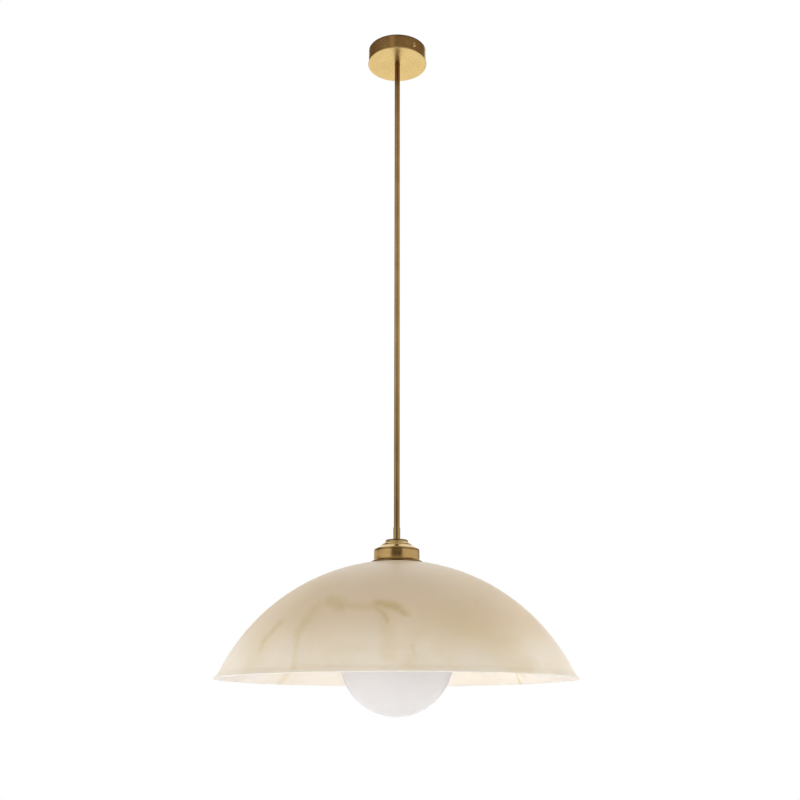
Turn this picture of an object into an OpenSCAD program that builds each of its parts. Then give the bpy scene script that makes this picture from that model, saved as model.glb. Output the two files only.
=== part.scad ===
// Pendant light: ceiling canopy, slim brass rod, stepped gallery, dome shade and globe lamp.
// Millimetres. The origin is the centre of the ceiling plane, +Z points up into the
// ceiling, the light hangs towards -Z and its front is -Y.
// Azimuths are counted from the front (-Y) towards the right (+X).

/* [Ceiling plate] */
// Sheet thickness of the pressed plate
plate_t = 1.5; // [1:0.1:2]
// Radial gap between the plate and the canopy wall
plate_gap = 2.5; // [2.3:0.1:3]
// Depth of the dish that carries the rod
dish_depth = 12; // [11:0.5:13]
// Radius of the dish floor
dish_floor_r = 19; // [17:0.5:19.5]
// How much the dish widens towards the ceiling
dish_flare = 3; // [2:0.5:4]
// Distance between the two ceiling screws
slot_spacing = 60; // [58:1:62]
// End-to-end length of each ceiling screw slot
slot_l = 12; // [9:0.5:12.5]
// Width of each ceiling screw slot
slot_w = 4.5; // [3.5:0.1:5.5]
// Diameter of the hole for the supply cable
cable_hole_d = 11; // [8:0.5:12]
// Width of each ear
ear_w = 12; // [9:0.5:14]
// Height of each ear
ear_h = 18; // [17:0.5:20]
// Outer radius of the bend at the ear
ear_bend_r = 3; // [2:0.1:4]

/* [Canopy] */
// Outer diameter of the canopy wall
canopy_d = 88.4; // [86:0.2:110]
// Height of the canopy
canopy_h = 24; // [23.5:0.5:40]
// Wall thickness of the canopy
canopy_wall = 1.2; // [0.8:0.1:1.6]
// How far the bottom edge stands proud of the wall
canopy_edge = 0.8; // [0.3:0.1:2]
// Height of the proud bottom edge
canopy_edge_h = 1; // [0.6:0.1:3]
// Azimuth of the front side screw
screw_az = 35; // [25:1:45]
// Distance of the side screws below the ceiling
screw_drop = 13; // [11:0.5:14]
// Thread diameter of the side screws
screw_d = 3.9; // [3:0.1:5]
// Head diameter of the side screws
screw_head_d = 7; // [6:0.1:9]
// Head height of the side screws
screw_head_h = 2.2; // [1.5:0.1:3]
// Diameter of the tapped bosses inside the wall
boss_d = 7.5; // [6.5:0.1:9]
// Height of the tapped bosses
boss_h = 2; // [1:0.1:2.1]

/* [Rod] */
// Outer diameter of the rod
rod_d = 8; // [7:0.1:10]
// Wall thickness of the rod
rod_wall = 1.2; // [0.8:0.1:1.5]
// Distance from the ceiling to the top of the gallery
drop = 764.5; // [300:0.5:1500]
// Length of rod that stands above its top nut
rod_end = 1; // [0.5:0.1:2]
// Width across flats of the rod nuts
nut_af = 13; // [12:0.5:15]
// Height of the rod nuts
nut_h = 3.5; // [2.5:0.1:4]
// Outer diameter of the washer over the dish floor
washer_d = 17; // [15:0.5:20]
// Thickness of that washer
washer_t = 1; // [0.6:0.1:1.5]
// Outer diameter of the collar at the rod's foot
collar_d = 9.5; // [9.2:0.1:14]
// Length of that collar
collar_l = 17.5; // [8:0.5:40]

/* [Gallery] */
// Diameter of the top disc
disc_d = 30; // [24:0.2:31]
// Thickness of the top disc
disc_t = 2.1; // [1:0.1:4]
// Wall thickness of the gallery cover
cover_wall = 1; // [0.8:0.1:1.4]
// Diameter of the step under the disc
step_d = 31.6; // [31.2:0.2:36]
// Height of the step under the disc
step_h = 0.9; // [0.5:0.1:2]
// Diameter at the foot of the cone
cone_d = 41.2; // [40:0.2:46]
// Height of the cone
cone_h = 3.6; // [2:0.1:6]
// Height of the bevel between cone and band
bevel_h = 7.2; // [4.2:0.1:8.4]
// Diameter of the band
band_d = 61.6; // [54:0.2:64]
// Rounding of the band's top edge
band_round = 1.8; // [0.6:0.1:3]
// Height of the band above its flared foot
band_h = 12.5; // [10:0.1:20]
// Height over which the foot flares out
flare_h = 2.3; // [1:0.1:4]
// Height of the foot's edge
foot_edge_h = 2.8; // [1.6:0.1:4]
// Diameter of the foot
foot_d = 70; // [66:0.2:72]

/* [Shade] */
// Diameter of the dome at its rim, without the lip
shade_d = 468; // [400:1:520]
// Height from the rim to the flat crown
shade_h = 151.8; // [120:0.2:190]
// Wall thickness of the shade
shade_wall = 4.5; // [3:0.1:6]
// Diameter of the flat crown
crown_d = 72; // [70.5:0.5:80]
// Diameter of the hole in the crown
shade_hole_d = 42; // [41:0.2:44]
// How far the lip turns out
lip_out = 3; // [1:0.1:5]
// Height of the turned-out lip
lip_h = 5; // [3:0.1:8]
// Thickness of the lip's edge
lip_t = 1.6; // [1:0.1:2.5]
// Thickness of the felt ring under the gallery's foot
felt_t = 0.5; // [0.3:0.1:1.5]
// Thickness of the silicone washer under the crown
seal_t = 1; // [0.5:0.1:2]

/* [Lampholder] */
// Outer diameter of the threaded skirt
skirt_d = 40; // [39:0.1:40.5]
// Wall of the skirt's upper spigot
spigot_wall = 0.9; // [0.7:0.1:1]
// Length of the skirt below the cap
skirt_l = 30; // [28:0.5:32]
// Length of the spigot that screws into the cap
spigot_l = 6; // [4:0.5:7]
// Wall thickness of the cap
cap_wall = 1; // [0.8:0.1:1.2]
// Height of the whole cap
cap_h = 26.9; // [26.5:0.1:28]
// Height of the cap's threaded neck
neck_h = 8; // [6:0.2:8.4]
// Diameter of the cap's threaded neck
neck_d = 14; // [12:0.2:16]
// Thickness of the ceramic floor
floor_t = 7; // [5:0.2:7.6]
// Outer diameter of the screw shell
shell_d = 27.8; // [27.6:0.1:28.2]
// Wall of the screw shell
shell_t = 0.5; // [0.4:0.05:0.55]
// Diameter of the shade ring's flange
ring_d = 58; // [50:0.5:62]
// Thickness of the shade ring's flange
ring_t = 2; // [1.5:0.1:3]
// Diameter of the shade ring's hub
hub_d = 47; // [45:0.5:50]
// Height of the shade ring's hub
hub_h = 8; // [5:0.5:9]
// Number of grip notches round the hub
notches = 20; // [12:1:28]

/* [Lamp] */
// Diameter of the globe
lamp_d = 150; // [95:1:160]
// Length from the foot contact to the bottom of the globe
lamp_l = 195; // [189:1:205]
// Wall thickness of the globe
glass_t = 1.2; // [0.8:0.1:2]
// Diameter of the neck where it meets the cap
lamp_neck_d = 31; // [28:0.2:31.4]
// Outer diameter of the lamp's screw cap
lamp_cap_d = 26.2; // [25.6:0.1:26.2]
// Distance from the neck's end to the foot contact
lamp_cap_l = 28; // [27:0.5:29]

/* [Wiring] */
// Outer diameter of each conductor
wire_d = 1.8; // [1.4:0.1:1.9]
// Height of the terminal block
block_h = 11; // [10:0.5:12]
// Length of the terminal block along the conductors
block_l = 12; // [11:0.5:13]
// Distance between its two ways
way_pitch = 9; // [7.5:0.5:10]

/* [Hidden] */
$fn = 96;

// Fits, all radial or end to end
thread_fit = 0.05;
slide_fit = 0.25;
loose_fit = 0.1;
eps = 1;

// Canopy and plate
canopy_r = canopy_d / 2;
canopy_in_r = canopy_r - canopy_wall;
plate_r = canopy_in_r - plate_gap;
dish_mouth_r = dish_floor_r + dish_flare;
dish_floor_z = -dish_depth;
dish_under_z = dish_floor_z - plate_t;
screw_tip_r = plate_r + loose_fit;
slot_r = slot_w / 2;

// Rod and its nuts, from the ceiling down
rod_r = rod_d / 2;
bore_r = rod_r - rod_wall;
rod_hole_r = rod_r + thread_fit;
top_nut_z = dish_floor_z + washer_t;
rod_top_z = top_nut_z + nut_h + rod_end;
low_nut_z = dish_under_z - nut_h;

// Gallery, from the top of the disc down
disc_z = -drop - disc_t;
cover_h = step_h + cone_h + bevel_h + band_h + flare_h + foot_edge_h;
cover_z = disc_z - cover_h;
cover_nut_z = disc_z - cover_wall - nut_h;
cap_top_z = cover_nut_z - neck_h;
rod_foot_z = cap_top_z + 3;
band_r = band_d / 2;

// Shade: a spherical dome through the crown's edge and the rim
crown_z = cover_z - felt_t;
rim_z = crown_z - shade_h;
shade_c = (pow(crown_d / 2, 2) + pow(shade_h, 2) - pow(shade_d / 2, 2)) / (2 * shade_h);
shade_sphere_r = sqrt(pow(shade_d / 2, 2) + pow(shade_c, 2));
crown_in_z = crown_z - shade_wall;
seal_z = crown_in_z - seal_t;
ring_z = seal_z - ring_t;
lip_in_r = sqrt(pow(shade_sphere_r - shade_wall, 2) - pow(shade_c, 2));

// Lampholder
skirt_r = skirt_d / 2;
shoulder_z = cover_nut_z - cap_h;
mouth_z = shoulder_z - skirt_l;
cap_r = skirt_r - 0.4;
cap_in_r = cap_r - cap_wall;
spigot_r = cap_in_r - loose_fit;
skirt_in_r = spigot_r - spigot_wall;
insert_r = skirt_in_r - loose_fit * 2;
mouth_t = 1.4;
mouth_r = insert_r - 1;
insert_z = mouth_z + mouth_t;
insert_top_z = shoulder_z + 8.5;
insert_floor_z = insert_top_z - floor_t;
shell_r = shell_d / 2;
shell_top_z = insert_floor_z - 1.5;
cap_top_in_z = cap_top_z - cap_wall;
contact_w = 4;
contact_t = 0.6;
terminal_x = 8;
terminal_z = insert_top_z;
terminal_h = 4.4;
terminal_wire_z = terminal_z + 2.2;

// Lamp: its foot contact lies just under the centre contact
contact_gap = 0.15;
lamp_tip_z = insert_floor_z - 3;
lamp_r = lamp_d / 2;
lamp_z = lamp_tip_z - lamp_l + lamp_r;
lamp_neck_z = lamp_tip_z - lamp_cap_l;
lamp_cap_r = lamp_cap_d / 2;
lamp_cap_t = 0.4;
vitrite_z = lamp_tip_z - 5.6;

// Terminal block under the plate
block_y = dish_mouth_r + plate_t + 1.5;
block_w = way_pitch + 9;
block_z = -plate_t - block_h;
way_z = -plate_t - block_h / 2;
barrel_r = 2.35;
earth_at = [24, 18];
tag_t = 0.8;
tag_barrel_r = wire_d / 2 + 0.5;
tag_barrel_z = -plate_t - tag_barrel_r;
foot_earth_r = 10.8;
foot_earth_az = -60;

// Conductors: their places in the rod and the points of their routes at both ends
wire_r = wire_d / 2;
wire_off = 1.25;
live_at = wire_off * [cos(180), sin(180)];
neutral_at = wire_off * [cos(60), sin(60)];
earth_in = wire_off * [cos(-60), sin(-60)];
earth_dir = [cos(150), sin(150)];
earth_end = earth_at + 5.5 * earth_dir;
earth_lead = earth_at + 8.5 * earth_dir;
foot_dir = [cos(foot_earth_az), sin(foot_earth_az)];
foot_tag = (foot_earth_r - 5.5) * foot_dir;
foot_lead = (foot_earth_r - 7.4) * foot_dir;
foot_tag_z = cap_top_in_z - tag_barrel_r;

live_top = [[-way_pitch / 2, block_y + 5, way_z], [-way_pitch / 2, block_y - 2, way_z],
    [-4, 15, -5.6], [-2.6, 7, -3.8], [-1.6, 2.2, -3.8],
    [live_at[0], live_at[1], rod_top_z], [live_at[0], live_at[1], rod_top_z - 6]];
neutral_top = [[way_pitch / 2, block_y + 5, way_z], [way_pitch / 2, block_y - 2, way_z],
    [4, 15, -6], [2.6, 8, -4.6], [1.2, 3.4, -4.4],
    [neutral_at[0], neutral_at[1], rod_top_z], [neutral_at[0], neutral_at[1], rod_top_z - 6]];
earth_top = [[earth_end[0], earth_end[1], tag_barrel_z],
    [earth_lead[0], earth_lead[1], tag_barrel_z], [12.4, 22, -4.6],
    [9.8, 17.6, -5.4], [7.8, 11, -3.8], [5, 4, -2.6], [2.4, -0.4, -2.8],
    [earth_in[0], earth_in[1], rod_top_z], [earth_in[0], earth_in[1], rod_top_z - 6]];
live_foot = [[live_at[0], live_at[1], rod_foot_z + 4], [live_at[0], live_at[1], cap_top_z - 3],
    [-2.6, 0, terminal_wire_z + 1.4], [-4.6, 0, terminal_wire_z], [-8.5, 0, terminal_wire_z]];
neutral_foot = [[neutral_at[0], neutral_at[1], rod_foot_z + 4],
    [neutral_at[0], neutral_at[1], cap_top_z - 3],
    [2.4, 0.4, terminal_wire_z + 1.4], [4.6, 0, terminal_wire_z], [8.5, 0, terminal_wire_z]];
earth_foot = [[earth_in[0], earth_in[1], rod_foot_z + 4],
    [earth_in[0], earth_in[1], cap_top_z + 0.4],
    [1.7 * foot_dir[0], 1.7 * foot_dir[1], cap_top_z - 1.6],
    [foot_lead[0], foot_lead[1], foot_tag_z], [foot_tag[0], foot_tag[1], foot_tag_z]];

// Smooth curve through points, with tangents as long as each chord
function unit(v) = v / norm(v);
function tangent(p, i) = unit(p[min(i + 1, len(p) - 1)] - p[max(i - 1, 0)]);
function hermite(a, b, ta, tb, s) =
    let (l = norm(b - a), s2 = s * s, s3 = s * s * s)
    (2 * s3 - 3 * s2 + 1) * a + (s3 - 2 * s2 + s) * l * ta
    + (3 * s2 - 2 * s3) * b + (s3 - s2) * l * tb;
function smooth(p, n) = [
    for (i = [0 : len(p) - 2])
        for (k = [0 : n - 1])
            hermite(p[i], p[i + 1], tangent(p, i), tangent(p, i + 1), k / n),
    p[len(p) - 1]];

// Frames carried along a path without twist
function side_of(t) = unit(cross(t, abs(t[2]) < 0.9 ? [0, 0, 1] : [1, 0, 0]));
function carry(v, t) = unit(v - (v * t) * t);
function frames(p, i = 0, v = undef, out = []) =
    i == len(p) ? out :
    let (t = tangent(p, i), w = is_undef(v) ? side_of(t) : carry(v, t))
    frames(p, i + 1, w, concat(out, [[w, cross(t, w)]]));

// Round tube along a path
module tube_along(path, r, sides = 8) {
    f = frames(path);
    n = len(path);
    points = [for (i = [0 : n - 1]) for (k = [0 : sides - 1])
        path[i] + r * (cos(360 * k / sides) * f[i][0] + sin(360 * k / sides) * f[i][1])];
    walls = [for (i = [0 : n - 2]) for (k = [0 : sides - 1])
        let (a = i * sides + k, b = i * sides + (k + 1) % sides)
        [a, a + sides, b + sides, b]];
    caps = [[for (k = [0 : sides - 1]) k],
        [for (k = [sides - 1 : -1 : 0]) (n - 1) * sides + k]];
    polyhedron(points = points, faces = concat(walls, caps), convexity = 8);
}

// A conductor: the top route, the straight run in the rod, and the foot route
module wire(top, foot) {
    tube_along(concat(smooth(top, 3), smooth(foot, 3)), wire_r);
}

// Flat ring between two heights
module ring(outer_r, inner_r, z0, z1) {
    difference() {
        translate([0, 0, z0]) cylinder(r = outer_r, h = z1 - z0);
        translate([0, 0, z0 - eps]) cylinder(r = inner_r, h = z1 - z0 + 2 * eps);
    }
}

// Place children with their local +Z pointing outwards at an azimuth
module outward(az, r, z) {
    rotate([0, 0, az - 90]) translate([r, 0, z]) rotate([0, 90, 0]) children();
}

// Slotted screw: head above z = 0, plain shank below
module slotted_screw(d, l, head_d, head_h, slot) {
    difference() {
        intersection() {
            cylinder(d = head_d, h = head_h);
            translate([0, 0, head_h - head_d * 0.75]) sphere(r = head_d * 0.75);
        }
        translate([-head_d, -slot / 2, head_h * 0.5]) cube([2 * head_d, slot, head_h]);
    }
    translate([0, 0, -l]) cylinder(d = d, h = l + 0.1);
}

// Hexagon nut with both faces chamfered
module hex_nut(z) {
    corner = nut_af / 2 / cos(30);
    cut = (corner - nut_af / 2) * tan(30);
    translate([0, 0, z]) difference() {
        intersection() {
            cylinder(r = corner, h = nut_h, $fn = 6);
            rotate_extrude() polygon([[0, 0], [nut_af / 2, 0], [corner, cut],
                [corner, nut_h - cut], [nut_af / 2, nut_h], [0, nut_h]]);
        }
        translate([0, 0, -eps]) cylinder(r = rod_hole_r, h = nut_h + 2 * eps);
    }
}

// One ear: the plate's edge bent down against the canopy's side screw
module ear() {
    rotate([90, 0, 0]) translate([0, 0, -ear_w / 2]) linear_extrude(ear_w)
        translate([plate_r, 0]) difference() {
            union() {
                translate([-ear_bend_r, -ear_bend_r]) circle(r = ear_bend_r);
                translate([-ear_bend_r - 4, -plate_t]) square([4 + ear_bend_r / 2, plate_t]);
                translate([-plate_t, -ear_h]) square([plate_t, ear_h - ear_bend_r]);
            }
            translate([-ear_bend_r, -ear_bend_r]) circle(r = ear_bend_r - plate_t);
            translate([-ear_bend_r * 2, -ear_bend_r * 2])
                square([ear_bend_r, ear_bend_r * 2 - plate_t]);
            translate([-ear_bend_r * 2, -ear_bend_r * 2])
                square([ear_bend_r * 2 - plate_t, ear_bend_r]);
        }
}

// Slot with round ends that runs along X
module slot_cut(x) {
    half = slot_l / 2 - slot_r;
    translate([x, 0, -plate_t - eps]) {
        translate([-half, -slot_r, 0]) cube([2 * half, slot_w, plate_t + 2 * eps]);
        for (s = [-1, 1]) translate([s * half, 0, 0])
            cylinder(r = slot_r, h = plate_t + 2 * eps);
    }
}

// Ceiling plate: a flat ring against the ceiling with a pressed dish and two ears
module ceiling_plate() {
    slope = dish_flare / dish_depth;
    color([0.72, 0.72, 0.70]) difference() {
        union() {
            rotate_extrude() polygon([[rod_hole_r, dish_floor_z],
                [dish_floor_r, dish_floor_z], [dish_mouth_r, 0],
                [plate_r - 1, 0], [plate_r - 1, -plate_t],
                [dish_mouth_r + plate_t * (1 - slope), -plate_t],
                [dish_floor_r + plate_t * (1 - slope), dish_under_z],
                [rod_hole_r, dish_under_z]]);
            for (a = [0, 180]) rotate([0, 0, screw_az - 90 + a]) ear();
        }
        for (s = [-1, 1]) slot_cut(s * slot_spacing / 2);
        translate([0, -(dish_mouth_r + plate_r) / 2, -plate_t - eps])
            cylinder(d = cable_hole_d, h = plate_t + 2 * eps);
        translate([earth_at[0], earth_at[1], -plate_t - eps])
            cylinder(r = 2 + loose_fit, h = plate_t + 2 * eps);
        translate([0, block_y + block_l / 2, -plate_t - eps])
            cylinder(r = 1.5 + loose_fit, h = plate_t + 2 * eps);
        translate([-7.5, 12, dish_floor_z + 3]) cube([20, dish_mouth_r, 5.8]);
    }
}

module rod_washer() {
    color([0.75, 0.75, 0.74]) ring(washer_d / 2, rod_hole_r, dish_floor_z, top_nut_z);
}

module rod_nuts() {
    color([0.80, 0.67, 0.38]) {
        hex_nut(top_nut_z);
        hex_nut(low_nut_z);
        hex_nut(cover_nut_z);
    }
}

// Two-way terminal block with open ways along Y and screw wells from below
module terminal_block() {
    color([0.93, 0.93, 0.90]) difference() {
        translate([-block_w / 2, block_y, block_z]) cube([block_w, block_l, block_h]);
        for (s = [-1, 1]) translate([s * way_pitch / 2, 0, 0]) {
            translate([0, block_y - eps, way_z]) rotate([-90, 0, 0])
                cylinder(r = barrel_r + loose_fit, h = block_l + 2 * eps);
            for (y = [3, block_l - 3]) translate([0, block_y + y, block_z - eps])
                cylinder(r = 1.9, h = block_h / 2 + eps);
        }
        translate([0, block_y + block_l / 2, block_z - eps])
            cylinder(r = 1.5 + loose_fit, h = block_h + 2 * eps);
        translate([-(way_pitch - 6) / 2, block_y - eps, block_z - eps])
            cube([way_pitch - 6, block_l / 2 - 3.5 + eps, block_h / 2]);
        translate([-(way_pitch - 6) / 2, block_y + block_l / 2 + 3.5, block_z - eps])
            cube([way_pitch - 6, block_l / 2 - 3.5 + eps, block_h / 2]);
        translate([0, block_y + block_l / 2, block_z - eps]) cylinder(r = 3, h = 2.6 + eps);
    }
}

module terminal_barrels() {
    color([0.85, 0.70, 0.38]) for (s = [-1, 1]) difference() {
        translate([s * way_pitch / 2, block_y + 0.5, way_z]) rotate([-90, 0, 0])
            cylinder(r = barrel_r, h = block_l - 1);
        translate([s * way_pitch / 2, block_y - eps, way_z]) rotate([-90, 0, 0])
            cylinder(r = wire_r + 0.35, h = block_l + 2 * eps);
        for (y = [3, block_l - 3])
            translate([s * way_pitch / 2, block_y + y, way_z - barrel_r - eps])
                cylinder(r = 1.4 + thread_fit, h = barrel_r + eps);
    }
}

module terminal_screws() {
    l = block_h / 2 - wire_r - 1.6;
    color([0.78, 0.78, 0.76]) for (s = [-1, 1]) for (y = [3, block_l - 3])
        translate([s * way_pitch / 2, block_y + y, way_z - wire_r - 0.05 - l])
            rotate([180, 0, 0]) slotted_screw(2.8, l, 3.4, 1.2, 0.6);
}

module block_screw() {
    color([0.78, 0.78, 0.76])
        translate([0, block_y + block_l / 2, block_z + 2.6]) rotate([180, 0, 0])
            slotted_screw(3, block_h - 2.6 + plate_t - 0.2, 5.4, 2, 0.8);
}

// Earth screw, head down, with its ring tag above the head
module earth_screw_at(x, y, z) {
    translate([x, y, z - tag_t]) rotate([180, 0, 0]) slotted_screw(4, 2, 7, 1.8, 0.9);
}

module earth_screws() {
    color([0.80, 0.67, 0.38]) {
        earth_screw_at(earth_at[0], earth_at[1], -plate_t);
        rotate([0, 0, foot_earth_az]) earth_screw_at(foot_earth_r, 0, cap_top_in_z);
    }
}

// Ring tag whose crimp barrel points away from the screw along +X
module tag() {
    difference() {
        union() {
            translate([0, 0, -tag_t]) cylinder(r = 3.6, h = tag_t);
            translate([3, 0, -tag_barrel_r]) rotate([0, 90, 0])
                cylinder(r = tag_barrel_r, h = 3.4);
        }
        translate([0, 0, -tag_t - eps]) cylinder(r = 2 + loose_fit, h = tag_t + 2 * eps);
        translate([3.8, 0, -tag_barrel_r]) rotate([0, 90, 0])
            cylinder(r = wire_r + thread_fit, h = 4);
        translate([0, 0, -tag_t - 4]) cylinder(r = 3.7, h = 4);
    }
}

module earth_tags() {
    color([0.75, 0.75, 0.74]) {
        translate([earth_at[0], earth_at[1], -plate_t]) rotate([0, 0, 150]) tag();
        rotate([0, 0, foot_earth_az]) translate([foot_earth_r, 0, cap_top_in_z])
            rotate([0, 0, 180]) tag();
    }
}

// Canopy: a cup with a proud bottom edge, a rod hole and two tapped bosses
module canopy() {
    chamfer = 0.25;
    edge_r = canopy_r + canopy_edge;
    color([0.72, 0.56, 0.31]) difference() {
        union() {
            difference() {
                rotate_extrude() polygon([[0, -canopy_h], [edge_r - chamfer, -canopy_h],
                    [edge_r, -canopy_h + chamfer],
                    [edge_r, -canopy_h + canopy_edge_h - chamfer],
                    [edge_r - chamfer, -canopy_h + canopy_edge_h],
                    [canopy_r, -canopy_h + canopy_edge_h], [canopy_r, -0.3], [0, -0.3]]);
                translate([0, 0, -canopy_h + canopy_wall])
                    cylinder(r = canopy_in_r, h = canopy_h);
            }
            for (a = [0, 180]) outward(screw_az + a, canopy_in_r - boss_h, -screw_drop)
                cylinder(d = boss_d, h = boss_h + canopy_wall / 2);
        }
        translate([0, 0, -canopy_h - eps])
            cylinder(r = rod_r + slide_fit, h = canopy_wall + 2 * eps);
        for (a = [0, 180]) outward(screw_az + a, canopy_in_r - boss_h - eps, -screw_drop)
            cylinder(r = screw_d / 2 + loose_fit, h = boss_h + canopy_wall + 3 * eps);
    }
}

module canopy_screw(az) {
    color([0.86, 0.72, 0.44]) outward(az, canopy_r + loose_fit, -screw_drop)
        rotate([0, 0, 50]) slotted_screw(screw_d, canopy_r - screw_tip_r + loose_fit,
            screw_head_d, screw_head_h, 1);
}

module canopy_screw_front() { canopy_screw(screw_az); }

module canopy_screw_rear() { canopy_screw(screw_az + 180); }

module rod() {
    color([0.52, 0.40, 0.22]) ring(rod_r, bore_r, rod_foot_z, rod_top_z);
}

module foot_collar() {
    chamfer = 0.3;
    color([0.55, 0.42, 0.24]) translate([0, 0, -drop]) rotate_extrude()
        polygon([[rod_hole_r, 0], [collar_d / 2, 0], [collar_d / 2, collar_l - chamfer],
            [collar_d / 2 - chamfer, collar_l], [rod_hole_r, collar_l]]);
}

module top_disc() {
    chamfer = 0.4;
    color([0.66, 0.52, 0.30]) translate([0, 0, disc_z]) rotate_extrude()
        polygon([[rod_hole_r, 0], [disc_d / 2 - chamfer, 0], [disc_d / 2, chamfer],
            [disc_d / 2, disc_t - chamfer], [disc_d / 2 - chamfer, disc_t],
            [rod_hole_r, disc_t]]);
}

// Outline of the gallery cover, drawn in by d, from the rod hole down to the band
function cover_outline(d) =
    let (z1 = cover_h - step_h, z2 = z1 - cone_h, z3 = z2 - bevel_h,
        slope = atan2(bevel_h - band_round, band_r - cone_d / 2 - 0.6))
    concat([[rod_hole_r, cover_h - d], [step_d / 2 - d, cover_h - d],
        [step_d / 2 - d, z1 - d * 0.4], [cone_d / 2 - d, z2 - d * 0.4],
        [cone_d / 2 + 0.6 - d, z2 - 1.2 - d * 0.6]],
        [for (a = [90 - slope : -(90 - slope) / 4 : 0])
            [band_r - band_round + (band_round - d * 0.6) * cos(a) - d * 0.4,
            z3 + (band_round - d * 0.6) * sin(a) - d * 0.4]]);

// Stepped gallery cover, spun from sheet, with a thick flared foot that stands on the shade
module gallery_cover() {
    outer = cover_outline(0);
    inner = cover_outline(cover_wall);
    foot_r = foot_d / 2;
    edge = foot_edge_h;
    color([0.74, 0.58, 0.33]) translate([0, 0, cover_z]) rotate_extrude()
        polygon(concat(outer, [[band_r, edge + flare_h], [foot_r - 0.4, edge + 0.1],
            [foot_r - 0.1, edge - 0.1], [foot_r, edge - 0.4], [foot_r, 0.9],
            [foot_r - 0.5, 0], [band_r - cover_wall, 0]],
            [for (i = [len(inner) - 1 : -1 : 0]) inner[i]]));
}

module gallery_gasket() {
    color([0.30, 0.28, 0.26])
        ring(foot_d / 2 - 0.6, band_r - cover_wall, crown_z, cover_z);
}

// Dome shade: a slice of a spherical shell with a flat crown, a hole and a turned-out lip
module shade() {
    color([0.93, 0.88, 0.79]) translate([0, 0, rim_z]) {
        difference() {
            intersection() {
                translate([0, 0, shade_c]) sphere(r = shade_sphere_r, $fn = 200);
                cylinder(r = shade_d, h = shade_h);
            }
            intersection() {
                translate([0, 0, shade_c]) sphere(r = shade_sphere_r - shade_wall, $fn = 200);
                translate([0, 0, -eps]) cylinder(r = shade_d, h = shade_h - shade_wall + eps);
            }
            cylinder(d = shade_hole_d, h = shade_h + eps);
            translate([0, 0, -eps]) cylinder(r = shade_d, h = lip_h + eps);
        }
        rotate_extrude($fn = 200) polygon(shade_lip());
    }
}

// Radius of a sphere about the dome's centre at a height above the rim
function dome_r(r, z) = sqrt(pow(r, 2) - pow(z - shade_c, 2));

// Section of the turned-out lip, from its inner foot round the edge to the dome
function shade_lip() = concat(
    [for (k = [0 : 4]) let (z = lip_h * (1 - k / 4))
        [dome_r(shade_sphere_r - shade_wall, z), z]],
    [[shade_d / 2 + lip_out - 0.4, 0], [shade_d / 2 + lip_out, 0.4],
    [shade_d / 2 + lip_out, lip_t - 0.3], [shade_d / 2 + lip_out - 0.5, lip_t]],
    [for (k = [1 : 4]) let (z = lip_t + (lip_h - lip_t) * k / 4)
        [dome_r(shade_sphere_r, z) + (lip_out - 0.5) * pow(1 - k / 4, 2), z]]);

module shade_washer() {
    color([0.85, 0.85, 0.83]) ring(ring_d / 2 - 1, skirt_r + 1, seal_z, crown_in_z);
}

// Shade ring: a flange and a notched hub that screws up the skirt
module shade_ring() {
    color([0.80, 0.65, 0.37]) difference() {
        union() {
            ring(ring_d / 2, skirt_r + thread_fit, ring_z, seal_z);
            ring(hub_d / 2, skirt_r + thread_fit, ring_z - hub_h, ring_z);
        }
        for (i = [0 : notches - 1]) rotate([0, 0, 360 * i / notches])
            translate([hub_d / 2 + 1, 0, ring_z - hub_h - eps])
                cylinder(r = 1.8, h = hub_h + eps, $fn = 24);
    }
}

// Lampholder cap: threaded neck, rounded shoulder and plain bell
module holder_cap() {
    r = 5;
    color([0.70, 0.55, 0.31]) difference() {
        rotate_extrude() polygon(concat(
            [[rod_hole_r, cover_nut_z], [neck_d / 2, cover_nut_z], [neck_d / 2, cap_top_z]],
            [for (a = [90 : -15 : 0])
                [cap_r - r + r * cos(a), cap_top_z - r + r * sin(a)]],
            [[cap_r, shoulder_z], [cap_in_r, shoulder_z]],
            [for (a = [0 : 15 : 90]) [cap_r - r + (r - cap_wall) * cos(a),
                cap_top_z - r + (r - cap_wall) * sin(a)]],
            [[rod_hole_r, cap_top_in_z]]));
        rotate([0, 0, foot_earth_az]) translate([foot_earth_r, 0, cap_top_in_z - eps])
            cylinder(r = 2 + loose_fit, h = cap_wall + 2 * eps);
    }
}

// Lampholder skirt: threaded outside, with a spigot above and a turned-in mouth
module holder_skirt() {
    color([0.70, 0.55, 0.31]) rotate_extrude() polygon([[mouth_r, mouth_z],
        [skirt_r - 0.5, mouth_z], [skirt_r, mouth_z + 0.5], [skirt_r, shoulder_z],
        [spigot_r, shoulder_z], [spigot_r, shoulder_z + spigot_l],
        [skirt_in_r, shoulder_z + spigot_l], [skirt_in_r, insert_z], [mouth_r, insert_z]]);
}

// Ceramic insert: a tube round the screw shell under a thick floor with two slots
module holder_insert() {
    color([0.95, 0.94, 0.90]) difference() {
        translate([0, 0, insert_z]) cylinder(r = insert_r, h = insert_top_z - insert_z);
        translate([0, 0, insert_z - eps])
            cylinder(r = shell_r + loose_fit, h = insert_floor_z - insert_z + eps);
        for (s = [-1, 1]) translate([s * (terminal_x + 2.5) - (contact_t + 0.4) / 2,
            -(contact_w + 0.4) / 2, insert_floor_z - eps])
                cube([contact_t + 0.4, contact_w + 0.4, floor_t + 2 * eps]);
    }
}

// Screw shell: a thin sleeve with a rolled-in top edge
module screw_shell() {
    color([0.84, 0.70, 0.40]) rotate_extrude() polygon([[shell_r - shell_t, insert_z + 1],
        [shell_r, insert_z + 1], [shell_r, shell_top_z], [shell_r - 2.4, shell_top_z],
        [shell_r - 2.4, shell_top_z - shell_t], [shell_r - shell_t, shell_top_z - shell_t]]);
}

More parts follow.
